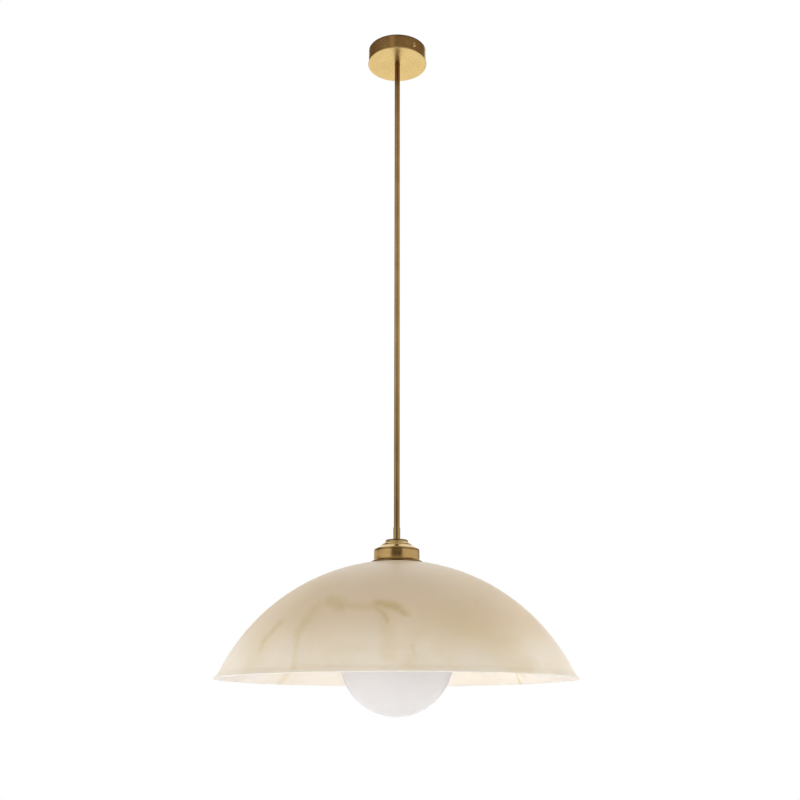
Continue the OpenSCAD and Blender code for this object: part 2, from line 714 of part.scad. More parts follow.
// Terminal block of a contact, with a side entry and a screw hole from above
module contact_terminal(s) {
    difference() {
        translate([s * terminal_x - 3, -3.2, terminal_z]) cube([6, 6.4, terminal_h]);
        translate([s * terminal_x, 0, terminal_wire_z]) rotate([0, -90 * s, 0])
            cylinder(r = wire_r + 0.15, h = 6);
        translate([s * terminal_x, 0, terminal_wire_z]) sphere(r = wire_r + 0.15);
        translate([s * terminal_x, 0, terminal_wire_z]) cylinder(r = 1.3 + thread_fit, h = 6);
    }
    translate([s * (terminal_x + 2.5) - contact_t / 2, -contact_w / 2, insert_floor_z - contact_t])
        cube([contact_t, contact_w, floor_t + contact_t + 0.5]);
}

// Centre contact: a sprung tongue that dips to the lamp's foot
module centre_contact() {
    x0 = -terminal_x - 2.5 - contact_t / 2;
    z0 = insert_floor_z;
    z1 = lamp_tip_z + contact_gap;
    color([0.80, 0.62, 0.36]) {
        contact_terminal(-1);
        translate([0, contact_w / 2, 0]) rotate([90, 0, 0]) linear_extrude(contact_w)
            polygon([[x0, z0], [x0, z0 - contact_t], [-6.2, z0 - contact_t],
                [-2.4, z1], [2.4, z1], [4.4, z1 + 1], [4, z1 + 1.4],
                [2.1, z1 + contact_t], [-2.1, z1 + contact_t], [-6, z0]]);
    }
}

// Side contact: a foot that lies on the screw shell's top edge
module side_contact() {
    color([0.80, 0.62, 0.36]) {
        contact_terminal(1);
        translate([terminal_x + 2.5 - contact_t / 2, -contact_w / 2, shell_top_z])
            cube([contact_t, contact_w, insert_floor_z - shell_top_z]);
        translate([terminal_x + 2.5 - contact_t / 2, -contact_w / 2, shell_top_z])
            cube([shell_r - terminal_x - 2.6, contact_w, contact_t]);
    }
}

module holder_screws() {
    color([0.78, 0.78, 0.76]) for (s = [-1, 1])
        translate([s * terminal_x, 0, terminal_z + terminal_h])
            slotted_screw(2.6, terminal_h - 2.2 - wire_r - 0.1, 4.2, 1.3, 0.7);
}

// Height and radius of the lamp's neck: it leaves the globe on the globe's own tangent
neck_from_z = lamp_r * 0.885;
neck_from_r = sqrt(pow(lamp_r, 2) - pow(neck_from_z, 2));
neck_l = lamp_neck_z - lamp_z - neck_from_z;
neck_power = neck_from_z / neck_from_r * neck_l / (neck_from_r - lamp_neck_d / 2);
flare_r = lamp_cap_r - lamp_cap_t - 0.1;
function neck_r(s) = lamp_neck_d / 2 + (neck_from_r - lamp_neck_d / 2) * pow(1 - s, neck_power);

// Solid of the lamp's glass, drawn in by d
module lamp_solid(d) {
    translate([0, 0, lamp_z]) sphere(r = lamp_r - d, $fn = 200);
    translate([0, 0, lamp_z + neck_from_z]) rotate_extrude() polygon(concat(
        [[0, -3], [neck_from_r - d, -3], [neck_from_r - d, 0]],
        [for (k = [1 : 11]) [neck_r(k / 12) - d, neck_l * k / 12]],
        [[lamp_neck_d / 2 - d, neck_l - d], [flare_r - d, neck_l - d],
        [flare_r - d, neck_l + 6], [0, neck_l + 6]]));
}

module lamp_globe() {
    color([0.96, 0.94, 0.91]) difference() {
        lamp_solid(0);
        lamp_solid(glass_t);
    }
}

// Screw cap of the lamp: a thin sleeve that closes in towards the insulator
module lamp_cap() {
    in_r = lamp_cap_r - lamp_cap_t;
    color([0.80, 0.80, 0.79]) rotate_extrude() polygon([[in_r, lamp_neck_z],
        [lamp_cap_r, lamp_neck_z], [lamp_cap_r, vitrite_z - 1.5], [lamp_cap_r - 2, vitrite_z],
        [lamp_cap_r - 2.4, vitrite_z], [lamp_cap_r - 2.4, vitrite_z - 0.3],
        [in_r, vitrite_z - 1.7]]);
}

module lamp_insulator() {
    color([0.12, 0.12, 0.13]) translate([0, 0, vitrite_z]) rotate_extrude() polygon([[0, 0],
        [lamp_cap_r - 2, 0], [lamp_cap_r - 2.6, 0.8], [6, 3.6], [6, 4], [0, 4]]);
}

module lamp_contact() {
    color([0.78, 0.78, 0.76]) translate([0, 0, vitrite_z + 4]) intersection() {
        cylinder(r = 4.8, h = lamp_tip_z - vitrite_z - 4);
        translate([0, 0, lamp_tip_z - vitrite_z - 4 - 12]) sphere(r = 12);
    }
}

// Glass stem with four slanted filaments, fixed in the lamp's neck
module lamp_filaments() {
    stem_l = lamp_d * 0.3;
    top = lamp_neck_z + 3;
    color([0.90, 0.86, 0.70]) {
        translate([0, 0, top - stem_l]) cylinder(r1 = 2.5, r2 = 4, h = stem_l);
        translate([0, 0, top]) cylinder(r = lamp_cap_r - lamp_cap_t - glass_t - 0.2, h = 0.9);
        for (a = [0 : 90 : 270]) rotate([0, 0, a]) translate([1.5, 0, top - stem_l + 1])
            rotate([0, 160, 0]) cylinder(r = 0.9, h = lamp_d * 0.3, $fn = 24);
    }
}

module live_wire() { color([0.45, 0.26, 0.14]) wire(live_top, live_foot); }

module neutral_wire() { color([0.16, 0.34, 0.66]) wire(neutral_top, neutral_foot); }

module earth_wire() { color([0.35, 0.60, 0.20]) wire(earth_top, earth_foot); }

ceiling_plate();
rod_washer();
rod_nuts();
terminal_block();
terminal_barrels();
terminal_screws();
block_screw();
earth_screws();
earth_tags();
canopy();
canopy_screw_front();
canopy_screw_rear();
rod();
foot_collar();
top_disc();
gallery_cover();
gallery_gasket();
shade();
shade_washer();
shade_ring();
holder_cap();
holder_skirt();
holder_insert();
screw_shell();
centre_contact();
side_contact();
holder_screws();
lamp_globe();
lamp_cap();
lamp_insulator();
lamp_contact();
lamp_filaments();
live_wire();
neutral_wire();
earth_wire();
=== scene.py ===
from math import asin, atan2, cos, degrees, radians, sin, sqrt

import bpy
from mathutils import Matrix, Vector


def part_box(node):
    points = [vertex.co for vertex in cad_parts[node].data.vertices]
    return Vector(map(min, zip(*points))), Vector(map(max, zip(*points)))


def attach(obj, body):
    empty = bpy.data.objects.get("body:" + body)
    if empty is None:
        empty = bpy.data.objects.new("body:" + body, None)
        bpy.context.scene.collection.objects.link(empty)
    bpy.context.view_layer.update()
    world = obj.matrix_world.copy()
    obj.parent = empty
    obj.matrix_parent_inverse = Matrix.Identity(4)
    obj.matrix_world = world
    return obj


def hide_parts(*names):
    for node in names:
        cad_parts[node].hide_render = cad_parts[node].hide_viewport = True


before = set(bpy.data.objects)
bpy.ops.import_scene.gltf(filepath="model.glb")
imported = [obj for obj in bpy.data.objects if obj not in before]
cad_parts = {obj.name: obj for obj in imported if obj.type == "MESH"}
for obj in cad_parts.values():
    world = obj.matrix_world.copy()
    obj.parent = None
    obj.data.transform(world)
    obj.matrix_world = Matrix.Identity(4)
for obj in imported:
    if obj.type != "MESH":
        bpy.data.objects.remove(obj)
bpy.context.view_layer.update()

# Viewpoint: the light is seen from the front, from a little below the shade's rim, with the
# camera tilted up at the rod. A normal lens on a square frame.
rim_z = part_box("shade")[0].z
camera_back = 1.4696
camera_under_rim = 0.0579
camera_tilt, camera_roll, camera_pan = 106.67, -0.020, -0.1745
bpy.ops.object.camera_add(location=(0, -camera_back, rim_z - camera_under_rim),
                          rotation=(radians(camera_tilt), radians(camera_roll),
                                    radians(camera_pan)))
viewpoint = bpy.context.object
viewpoint.name = "viewpoint"
viewpoint.data.sensor_fit = "HORIZONTAL"
viewpoint.data.sensor_width = 36
viewpoint.data.lens = 49.07
bpy.context.scene.camera = viewpoint
bpy.context.scene.view_settings.view_transform = "Standard"


# Studio air: soft white light from all round, strongest from behind. The camera, gloss and
# glass see it as plain white paper behind the light.
def wired(tree, kind, inputs=None, **settings):
    """Adds one node; each input is a value or another node's output."""
    node = tree.nodes.new(kind)
    for key, value in settings.items():
        setattr(node, key, value)
    for key, value in (inputs or {}).items():
        if isinstance(value, bpy.types.NodeSocket):
            tree.links.new(value, node.inputs[key])
        else:
            node.inputs[key].default_value = value
    return node


def maths(tree, operation, *values, **settings):
    """The result of one arithmetic node."""
    return wired(tree, "ShaderNodeMath", dict(enumerate(values)), operation=operation,
                 **settings).outputs[0]


def between(tree, value, low, high, from_low=0.0, from_high=1.0, smooth=False):
    """A value moved from one span to another."""
    return wired(tree, "ShaderNodeMapRange",
                 {"Value": value, "From Min": from_low, "From Max": from_high,
                  "To Min": low, "To Max": high},
                 interpolation_type="SMOOTHSTEP" if smooth else "LINEAR").outputs[0]


def along(tree, vector, axis):
    """One coordinate of a vector."""
    return wired(tree, "ShaderNodeSeparateXYZ", {0: vector}).outputs[axis]


studio_air = bpy.data.worlds.new("studio_air")
bpy.context.scene.world = studio_air
studio_air.use_nodes = True
air = studio_air.node_tree
air.nodes.clear()
looking = wired(air, "ShaderNodeTexCoord").outputs["Generated"]
climb = between(air, along(air, looking, "Z"), 1.03, 0.57, -0.1, 0.7, smooth=True)
behind = between(air, along(air, looking, "Y"), 0.8, 1.25, -1.0, 1.0)
air_light = wired(air, "ShaderNodeBackground", {"Color": (1, 0.985, 0.96, 1),
                                                "Strength": maths(air, "MULTIPLY", climb, behind)})
air_paper = wired(air, "ShaderNodeBackground", {"Color": (1, 1, 1, 1), "Strength": 1.0})
ray_kind = wired(air, "ShaderNodeLightPath").outputs
as_backdrop = maths(air, "MAXIMUM", maths(air, "MAXIMUM", ray_kind["Is Camera Ray"],
                                          ray_kind["Is Glossy Ray"]),
                    ray_kind["Is Transmission Ray"])
air_mix = wired(air, "ShaderNodeMixShader", {0: as_backdrop, 1: air_light.outputs[0],
                                             2: air_paper.outputs[0]})
wired(air, "ShaderNodeOutputWorld", {"Surface": air_mix.outputs[0]})


# Floor: a plain pale sheet well below the lamp. Under the light it is matt and takes the
# soft shadow; outwards it runs into the lit white paper.
def blank(name):
    """A material with nothing in its tree."""
    material = bpy.data.materials.new(name)
    material.use_nodes = True
    material.node_tree.nodes.clear()
    return material, material.node_tree


def vectors(tree, operation, *values):
    """The result of one arithmetic node on vectors."""
    node = wired(tree, "ShaderNodeVectorMath", dict(enumerate(values)), operation=operation)
    return node.outputs["Value" if operation in ("LENGTH", "DOT_PRODUCT") else "Vector"]


bpy.ops.mesh.primitive_plane_add(size=16, location=(0, 0, -2.8))
bpy.ops.object.transform_apply(location=True)
floor = bpy.context.object
floor.name = "floor"
floor_paint, tree = blank("floor_paint")
reach = vectors(tree, "MULTIPLY", wired(tree, "ShaderNodeTexCoord").outputs["Object"], (1, 1, 0))
far = between(tree, vectors(tree, "LENGTH", reach), 0, 1, 0.8, 4.0, smooth=True)
matt = wired(tree, "ShaderNodeBsdfDiffuse", {"Color": (0.86, 0.855, 0.85, 1)})
paper = wired(tree, "ShaderNodeEmission", {"Color": (1, 1, 1, 1), "Strength": 1.0})
blend = wired(tree, "ShaderNodeMixShader", {0: far, 1: matt.outputs[0], 2: paper.outputs[0]})
wired(tree, "ShaderNodeOutputMaterial", {"Surface": blend.outputs[0]})
floor.data.materials.append(floor_paint)


# Flags and screens: curved sheets of lit cloth round the set, out of the picture, that only
# polished things show. Dark ones stand behind the camera and high up, paler ones at the sides.
def open_mesh(action="SELECT", kind=None):
    """Opens the active piece for editing, with all of it selected or nothing."""
    bpy.ops.object.mode_set(mode="EDIT")
    if kind:
        bpy.ops.mesh.select_mode(type=kind)
    bpy.ops.mesh.select_all(action=action)


def close_mesh():
    bpy.ops.object.mode_set(mode="OBJECT")


def mixed(tree, amount, one, other):
    """Colour between two colours, by a mask."""
    return wired(tree, "ShaderNodeMix", {0: amount, 6: one, 7: other},
                 data_type="RGBA").outputs[2]


def glowing(sheet, tree, material, colour):
    """Hangs a lit sheet where gloss alone sees it."""
    glow = wired(tree, "ShaderNodeEmission", {"Color": colour, "Strength": 1.0})
    wired(tree, "ShaderNodeOutputMaterial", {"Surface": glow.outputs[0]})
    sheet.data.materials.append(material)
    sheet.visible_camera = sheet.visible_diffuse = False
    sheet.visible_shadow = sheet.visible_transmission = False


def curved_screen(name, radius, low, high, azimuth_from, azimuth_to, lower, upper=None,
                  fade=(0, 1)):
    """A strip of a drum wall; azimuth is counted from the front round by the right. Its colour
    goes from lower to upper between the two heights in fade."""
    bpy.ops.mesh.primitive_cylinder_add(vertices=180, radius=radius, depth=high - low,
                                        location=(0, 0, (low + high) / 2),
                                        end_fill_type="NOTHING")
    bpy.ops.object.transform_apply(location=True)
    screen = bpy.context.object
    screen.name = name
    open_mesh("DESELECT", "FACE")
    close_mesh()
    for face in screen.data.polygons:
        azimuth = degrees(atan2(face.center.x, -face.center.y)) % 360
        face.select = not azimuth_from <= azimuth <= azimuth_to
    bpy.ops.object.mode_set(mode="EDIT")
    bpy.ops.mesh.delete(type="FACE")
    close_mesh()
    cloth, tree = blank(name + "_cloth")
    height = along(tree, wired(tree, "ShaderNodeTexCoord").outputs["Object"], "Z")
    rise = between(tree, height, 0, 1, *fade, smooth=True)
    glowing(screen, tree, cloth, mixed(tree, rise, lower + (1,), (upper or lower) + (1,)))


FRONT_TONES = (0.055, 0.042, 0.036), (0.31, 0.27, 0.21), (-0.35, 0.1)
SIDE_TONE = (0.57, 0.53, 0.49)
curved_screen("front_flag_right", 2.5, -2.4, 1.4, 0, 29, *FRONT_TONES)
curved_screen("front_flag_left", 2.5, -2.4, 1.4, 331, 360, *FRONT_TONES)
curved_screen("right_screen", 2.6, -1.8, 1.4, 29, 165, SIDE_TONE)
curved_screen("left_screen", 2.6, -1.8, 1.4, 195, 331, SIDE_TONE)
curved_screen("right_slit", 2.5, -1.6, 0.6, 135, 150, (0.22, 0.2, 0.18))
curved_screen("left_line", 2.45, -0.3, 1.4, 296, 320, (0.70, 0.66, 0.60))
curved_screen("left_dark", 2.45, -0.3, 1.4, 234, 268, (0.16, 0.14, 0.10))
curved_screen("high_flag_right", 3.0, 1.45, 3.3, 0, 146, (0.155, 0.094, 0.062),
              (0.135, 0.082, 0.055))
curved_screen("high_flag_left", 3.0, 1.45, 3.3, 205, 360, (0.133, 0.080, 0.054),
              (0.118, 0.072, 0.048))
curved_screen("high_line", 2.95, 1.5, 2.5, 330, 348, (0.34, 0.24, 0.19))

# Roof cloth: a flat round sheet of grey lit cloth that lies on the high flags and closes the
# set, so that the brass faces that look up aren't bleached.
bpy.ops.mesh.primitive_circle_add(vertices=90, radius=3.0, location=(0, 0, 3.3), fill_type="NGON")
bpy.ops.object.transform_apply(location=True)
roof = bpy.context.object
roof.name = "roof_cloth"
roof_paint, tree = blank("roof_paint")
glowing(roof, tree, roof_paint, (0.47, 0.46, 0.44, 1))


# Top light: one soft box, high up and a little behind the light. It lays the broad soft light
# on the dome, and no polished thing shows it.
def soft_box(name, location, tilt, turn, size, power):
    """A round, soft area light, in no picture and in no reflection."""
    bpy.ops.object.light_add(type="AREA", location=location,
                             rotation=(radians(tilt), 0, radians(turn)))
    box = bpy.context.object
    box.name = name
    box.data.shape = "DISK"
    box.data.size = size
    box.data.energy = power
    box.visible_glossy = box.visible_camera = False
    return box


top_box = soft_box("top_box", (0, 2.2, 2.6), tilt=-33, turn=0, size=1.4, power=8)
top_box.data.color = (1, 0.985, 0.96)

# Back and low lights: two soft boxes behind the light make the shade's sides glow, and a wide
# one on the floor in front fills the globe and the shade's inside.
for side, word, power in ((1, "right", 21), (-1, "left", 16)):
    soft_box("back_box_" + word, (side * 1.7, 1.0, -0.55), tilt=80, turn=side * 120, size=1.0,
             power=power)
soft_box("low_box", (-0.5, -1.5, -2.6), tilt=138, turn=-18, size=2.4, power=19)


# Ceiling plate: 1.5 mm sheet steel pressed into a dish with two bent ears, zinc plated. Two
# screws through its slots hold it to the ceiling, and the whole light hangs from its dish.
MM = 0.001
SMOOTH_UNDER = radians(32)


def pick(piece):
    """Leaves one piece selected and active."""
    bpy.ops.object.select_all(action="DESELECT")
    piece.select_set(True)
    bpy.context.view_layer.objects.active = piece


def from_solid(node, name, edge, merge_angle=0.5):
    """A copy of a CAD node with its flat faces joined and its sharp edges rounded off."""
    pick(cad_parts[node])
    bpy.ops.object.duplicate()
    piece = bpy.context.object
    piece.name = name
    piece.data.name = name
    open_mesh()
    bpy.ops.mesh.remove_doubles(threshold=2e-6)
    bpy.ops.mesh.customdata_custom_splitnormals_clear()
    bpy.ops.mesh.dissolve_limited(angle_limit=radians(merge_angle))
    close_mesh()
    if edge:
        round_off = piece.modifiers.new("round_off", "BEVEL")
        round_off.width = edge * MM
        round_off.segments = 2
        round_off.limit_method = "ANGLE"
        round_off.angle_limit = radians(40)
        bpy.ops.object.modifier_apply(modifier=round_off.name)
    bpy.ops.object.shade_smooth_by_angle(angle=SMOOTH_UNDER)
    return piece


def stands_for(piece, body, node, material):
    """The piece rides on its body, takes the node's place and gets its material."""
    piece.data.materials.clear()
    piece.data.materials.append(material)
    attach(piece, body)
    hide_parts(node)


def dressed(node, name, body, material, edge):
    """The CAD node's own form, with its edges rounded off, stands for the node."""
    stands_for(from_solid(node, name, edge), body, node, material)


def group_of(name, output, *inputs):
    """An empty shader group with one output; also its inputs' sockets and its end node."""
    group = bpy.data.node_groups.new(name, "ShaderNodeTree")
    for label, kind, value in (("Place", "Vector", None),) + inputs:
        socket = group.interface.new_socket(label, in_out="INPUT",
                                            socket_type="NodeSocket" + kind)
        if value is not None:
            socket.default_value = value
    group.interface.new_socket(output, in_out="OUTPUT", socket_type="NodeSocketFloat")
    enter = group.nodes.new("NodeGroupInput").outputs
    return group, enter, group.nodes.new("NodeGroupOutput").inputs[0]


def placed(tree, group, **values):
    """The output of one use of a shader group; underscores in names stand for spaces."""
    inputs = {key.replace("_", " "): value for key, value in values.items()}
    return wired(tree, "ShaderNodeGroup", inputs, node_tree=group).outputs[0]


def finish(name, **values):
    """A material with its Principled surface set; returns material, tree, surface and place."""
    material = bpy.data.materials.new(name)
    material.use_nodes = True
    tree = material.node_tree
    surface = tree.nodes["Principled BSDF"]
    for key, value in values.items():
        surface.inputs[key.replace("_", " ")].default_value = value
    return material, tree, surface, wired(tree, "ShaderNodeTexCoord").outputs["Object"]


def noise(tree, place, scale, out="Fac", dimensions="3D", **inputs):
    """Noise, at so many cells a metre."""
    return wired(tree, "ShaderNodeTexNoise", {"Vector": place, "Scale": scale, **inputs},
                 noise_dimensions=dimensions).outputs[out]


def bumped(tree, surface, height, distance, strength=1.0):
    """Relief of a height mask, in metres, on a surface."""
    bump = wired(tree, "ShaderNodeBump", {"Height": height, "Distance": distance,
                                          "Strength": strength})
    tree.links.new(bump.outputs["Normal"], surface.inputs["Normal"])


# Effect: handling and age, as soft blotches with finer flecks in them
blotches, enter, leave = group_of("blotches", "Mask", ("Size", "Float", 0.02))
coarse = noise(blotches, enter["Place"], maths(blotches, "DIVIDE", 1.0, enter["Size"]),
               Detail=4.0, Roughness=0.62)
blotches.links.new(between(blotches, coarse, 0, 1, 0.36, 0.66, smooth=True), leave)


def stained(name, size, one, other, rough=None, relief=0, strength=0.5, grain=0, detail=1.0,
            **values):
    """A material in two tones, in blotches of a size, and with a span of roughness that follows
    them. Its relief is grain, in cells a metre, or the blotches where there is no grain."""
    material, tree, surface, place = finish(name, **values)
    mask = placed(tree, blotches, Place=place, Size=size)
    tree.links.new(mixed(tree, mask, one, other), surface.inputs["Base Color"])
    if rough:
        tree.links.new(between(tree, mask, *rough), surface.inputs["Roughness"])
    if relief:
        height = noise(tree, place, grain, Detail=detail) if grain else mask
        bumped(tree, surface, height, relief, strength)
    return material


zinc = stained("zinc_plating", 0.006, (0.60, 0.61, 0.61, 1), (0.74, 0.73, 0.69, 1),
               rough=(0.32, 0.46), relief=0.00003, strength=0.6, grain=2600.0, detail=2.0,
               Metallic=1.0, Roughness=0.38)
dressed("ceiling_plate", "pressed_ceiling_plate", "frame", zinc, edge=0.3)

# Terminal block: moulded natural polyamide with two ways, a brass barrel in each, and four
# zinc plated screws that clamp the conductors. One longer screw holds it under the plate.
polyamide = stained("natural_polyamide", 0.004, (0.80, 0.79, 0.74, 1), (0.88, 0.87, 0.83, 1),
                    relief=0.00002, grain=3400.0, Roughness=0.42, Subsurface_Weight=0.25,
                    Subsurface_Scale=0.002)
dressed("terminal_block", "two_way_block", "frame", polyamide, edge=0.35)

# Effect: the fine lines that a lathe tool or an abrasive belt leaves round the axis
spun_lines, enter, leave = group_of("spun_lines", "Streak", ("Lines per mm", "Float", 1.0),
                                    ("Waver", "Float", 1.5))
flat = vectors(spun_lines, "MULTIPLY", enter["Place"], (1, 1, 0))
radius = vectors(spun_lines, "LENGTH", flat)


def scaled(tree, vector, by):
    """A vector, so many times as long."""
    return wired(tree, "ShaderNodeVectorMath", {0: vector, "Scale": by},
                 operation="SCALE").outputs[0]


turn = scaled(spun_lines, vectors(spun_lines, "NORMALIZE", flat), enter["Waver"])
pace = maths(spun_lines, "MULTIPLY", enter["Lines per mm"], 1000.0)
across = maths(spun_lines, "MULTIPLY", radius, pace)
down = maths(spun_lines, "MULTIPLY", along(spun_lines, enter["Place"], "Z"), pace)
steps = wired(spun_lines, "ShaderNodeCombineXYZ", {"X": across, "Y": down,
                                                   "Z": along(spun_lines, turn, "X")})
lines = noise(spun_lines, steps.outputs[0], 1.0, dimensions="4D", W=along(spun_lines, turn, "Y"),
              Detail=3.0, Roughness=0.7)
spun_lines.links.new(between(spun_lines, lines, 0, 1, 0.3, 0.7), leave)


def lacquered(tree, surface, place, streak, light, dark, share, patch, age):
    """Brass that darkens along a tool's streaks and in patches of tarnish."""
    tarnish = placed(tree, blotches, Place=place, Size=patch)
    lined = maths(tree, "MULTIPLY_ADD", streak, share, maths(tree, "MULTIPLY", tarnish, age))
    tree.links.new(mixed(tree, lined, light, dark), surface.inputs["Base Color"])


def paint_shade_bands(tree, surface, place, shade_bands, soft, colour):
    """Lays darker bands of painted shade over the colour, each with its lower and
    upper height and its strength, with soft edges."""
    z = along(tree, place, "Z")
    socket = surface.inputs["Base Color"]
    for low, high, strength in shade_bands:
        over = between(tree, z, 0, 1, low - soft, low + soft, smooth=True)
        under = between(tree, z, 1, 0, high - soft, high + soft, smooth=True)
        amount = maths(tree, "MULTIPLY", maths(tree, "MULTIPLY", over, under), strength)
        tree.links.new(mixed(tree, amount, socket.links[0].from_socket, colour), socket)


def turned_brass(name, light, dark, lines_per_mm=1.5, satin=0.3, age=0.5, swirl=0.5, shade_bands=()):
    """Brass worked round the axis: lines, a little tarnish, light that spreads across, and bands
    of painted shade.
    """
    material, tree, surface, place = finish(name, Metallic=1.0, Anisotropic=swirl)
    streak = placed(tree, spun_lines, Place=place, Lines_per_mm=lines_per_mm)
    lacquered(tree, surface, place, streak, light, dark, share=0.45, patch=0.03, age=age)
    # Painted shade: dark brown bands laid over the brass at the given heights.
    paint_shade_bands(tree, surface, place, shade_bands, soft=0.0003, colour=(0.20, 0.12, 0.045, 1))
    tree.links.new(between(tree, streak, satin - 0.05, satin + 0.09), surface.inputs["Roughness"])
    bumped(tree, surface, streak, distance=0.00004, strength=0.35)
    tree.links.new(wired(tree, "ShaderNodeTangent", direction_type="RADIAL",
                         axis="Z").outputs[0], surface.inputs["Tangent"])
    return material


bare_brass = turned_brass("bare_brass", (0.83, 0.62, 0.30, 1), (0.62, 0.42, 0.17, 1),
                          lines_per_mm=2.5, satin=0.28)
dressed("terminal_barrels", "block_barrels", "frame", bare_brass, edge=0.12)
dressed("terminal_screws", "block_clamp_screws", "frame", zinc, edge=0.1)
dressed("block_screw", "block_fixing_screw", "frame", zinc, edge=0.15)

# Earth points: a brass screw in the plate and one in the lampholder cap, each over the tinned
# copper ring tag that is crimped on the earth conductor.
tin = stained("tinned_copper", 0.003, (0.74, 0.74, 0.73, 1), (0.66, 0.60, 0.54, 1),
              rough=(0.25, 0.42), Metallic=1.0)
dressed("earth_screws", "brass_earth_screws", "frame", bare_brass, edge=0.15)
dressed("earth_tags", "crimped_ring_tags", "frame", tin, edge=0.12)


# Rod: 8 mm brass tube, drawn and brushed lengthwise, aged dark and lacquered. Its ends are
# threaded; the top end stands in the plate's dish and the foot in the lampholder cap.
def arc(centre_r, centre_z, radius, start, end, count=5):
    """Points of a round corner in an outline, angles from the outward direction."""
    return [(centre_r + radius * cos(radians(start + (end - start) * i / count)),
             centre_z + radius * sin(radians(start + (end - start) * i / count)))
            for i in range(count + 1)]


def turned(name, outline, base_z=0.0, sides=128, pole=False):
    """Lathe work: a ring drawn out along an outline of (radius, height) in millimetres above
    base_z. The outline closes on itself, or with pole=True both its ends close on the axis."""
    r, z = outline[0]
    bpy.ops.mesh.primitive_circle_add(vertices=sides, radius=r * MM,
                                      location=(0, 0, base_z + z * MM))
    bpy.ops.object.transform_apply(location=True)
    piece = bpy.context.object
    piece.name = name
    piece.data.name = name
    open_mesh(kind="VERT")
    for next_r, next_z in outline[1:] + ([] if pole else [outline[0]]):
        bpy.ops.mesh.extrude_region_move(
            TRANSFORM_OT_translate={"value": (0, 0, (next_z - z) * MM)})
        if next_r != r:
            bpy.ops.transform.resize(value=(next_r / r, next_r / r, 1),
                                     center_override=(0, 0, base_z + next_z * MM))
        r, z = next_r, next_z
    bpy.ops.mesh.select_all(action="SELECT")
    bpy.ops.mesh.remove_doubles(threshold=0.04 * MM if pole else 0.02 * MM)
    bpy.ops.mesh.normals_make_consistent(inside=False)
    close_mesh()
    bpy.ops.object.shade_smooth_by_angle(angle=SMOOTH_UNDER)
    return piece


def thread(piece, radius, pitch, turns, depth, low_z, inward=False, sides=3, steps=36):
    """A helical ridge, joined to a piece: radius is that of its crest. Its section is a ring of
    so many sides, about twice as wide as the thread is deep, sunk into the piece by its foot."""
    corner_r = depth * 0.75 * 1.33 * MM
    bpy.ops.mesh.primitive_circle_add(vertices=sides, radius=corner_r)
    ridge = bpy.context.object
    ridge.rotation_euler = (radians(90), 0, 0)
    bpy.ops.object.transform_apply(rotation=True)
    top = max(v.co.z for v in ridge.data.vertices)
    ridge.rotation_euler = (0, radians(-90 if inward else 90), 0)
    bpy.ops.object.transform_apply(rotation=True)
    half_width = corner_r * sin(radians(60)) if sides == 3 else corner_r
    share_of_pitch = 0.42
    ridge.scale = (1, 1, pitch * share_of_pitch * MM / half_width)
    ridge.location = (radius * MM + (top if inward else -top), 0, low_z)
    bpy.ops.object.transform_apply(location=True, scale=True)
    wind = ridge.modifiers.new("wind", "SCREW")
    wind.axis = "Z"
    wind.screw_offset = pitch * MM
    wind.iterations = turns
    wind.steps = wind.render_steps = steps
    wind.use_merge_vertices = True
    wind.merge_threshold = 1e-7
    bpy.ops.object.modifier_apply(modifier=wind.name)
    open_mesh("DESELECT", "EDGE")
    bpy.ops.mesh.select_non_manifold()
    bpy.ops.mesh.fill_holes(sides=0)
    bpy.ops.mesh.select_all(action="SELECT")
    bpy.ops.mesh.normals_make_consistent(inside=False)
    close_mesh()
    bpy.ops.object.shade_smooth_by_angle(angle=radians(50 if sides > 3 else 25))
    pick(piece)
    ridge.select_set(True)
    bpy.ops.object.join()


drawn_lines, enter, leave = group_of("drawn_lines", "Streak")
long_way = wired(drawn_lines, "ShaderNodeMapping", {"Vector": enter["Place"],
                                                    "Scale": (2400, 2400, 14)})
hair = noise(drawn_lines, long_way.outputs[0], 1.0, Detail=3.0, Roughness=0.65)
drawn_lines.links.new(between(drawn_lines, hair, 0, 1, 0.3, 0.7), leave)


def drawn_brass(name, light, dark, satin, age, shade_bands=()):
    """Brass tube brushed along its length, with tarnish in soft patches, and bands of painted
    shade.
    """
    material, tree, surface, place = finish(name, Metallic=1.0)
    streak = placed(tree, drawn_lines, Place=place)
    lacquered(tree, surface, place, streak, light, dark, share=0.4, patch=0.05, age=age)
    # Painted shade: darker brown bands laid over the brass at the given heights.
    paint_shade_bands(tree, surface, place, shade_bands, soft=0.012, colour=(0.17, 0.075, 0.04, 1))
    tree.links.new(between(tree, streak, satin - 0.04, satin + 0.08), surface.inputs["Roughness"])
    bumped(tree, surface, streak, distance=0.00002, strength=0.12)
    return material


rod_low, rod_high = (corner.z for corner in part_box("rod"))
rod_l = (rod_high - rod_low) / MM
top_thread = 20.3
rod = turned("brushed_rod", [(2.8, 0.3), (3.1, 0), (3.62, 0), (3.75, 0.15), (3.75, 12.5),
                             (4, 12.8), (4, rod_l - top_thread - 0.3), (3.75, rod_l - top_thread),
                             (3.75, rod_l - 0.3), (3.5, rod_l), (3.1, rod_l), (2.8, rod_l - 0.3)],
             rod_low, sides=96)
thread(rod, radius=4.0, pitch=1.0, turns=18, depth=0.45, low_z=rod_high - 0.0195)
thread(rod, radius=4.0, pitch=1.0, turns=10, depth=0.45, low_z=rod_low + 0.001)
# Painted shade: the rod is darkened in its top 60 mm under the canopy, and lower down in
# overlapping bands that darken it more and more towards the collar.
rod_shade_bands = [(-0.060, 0.001, 0.85), (-0.78, -0.70, 0.12), (-0.78, -0.63, 0.12),
             (-0.78, -0.56, 0.12), (-0.78, -0.49, 0.10)]
rod_brass = drawn_brass("rod_brass", (0.71, 0.50, 0.225, 1), (0.53, 0.345, 0.14, 1), satin=0.26,
                        age=0.5, shade_bands=rod_shade_bands)
stands_for(rod, "frame", "rod", rod_brass)

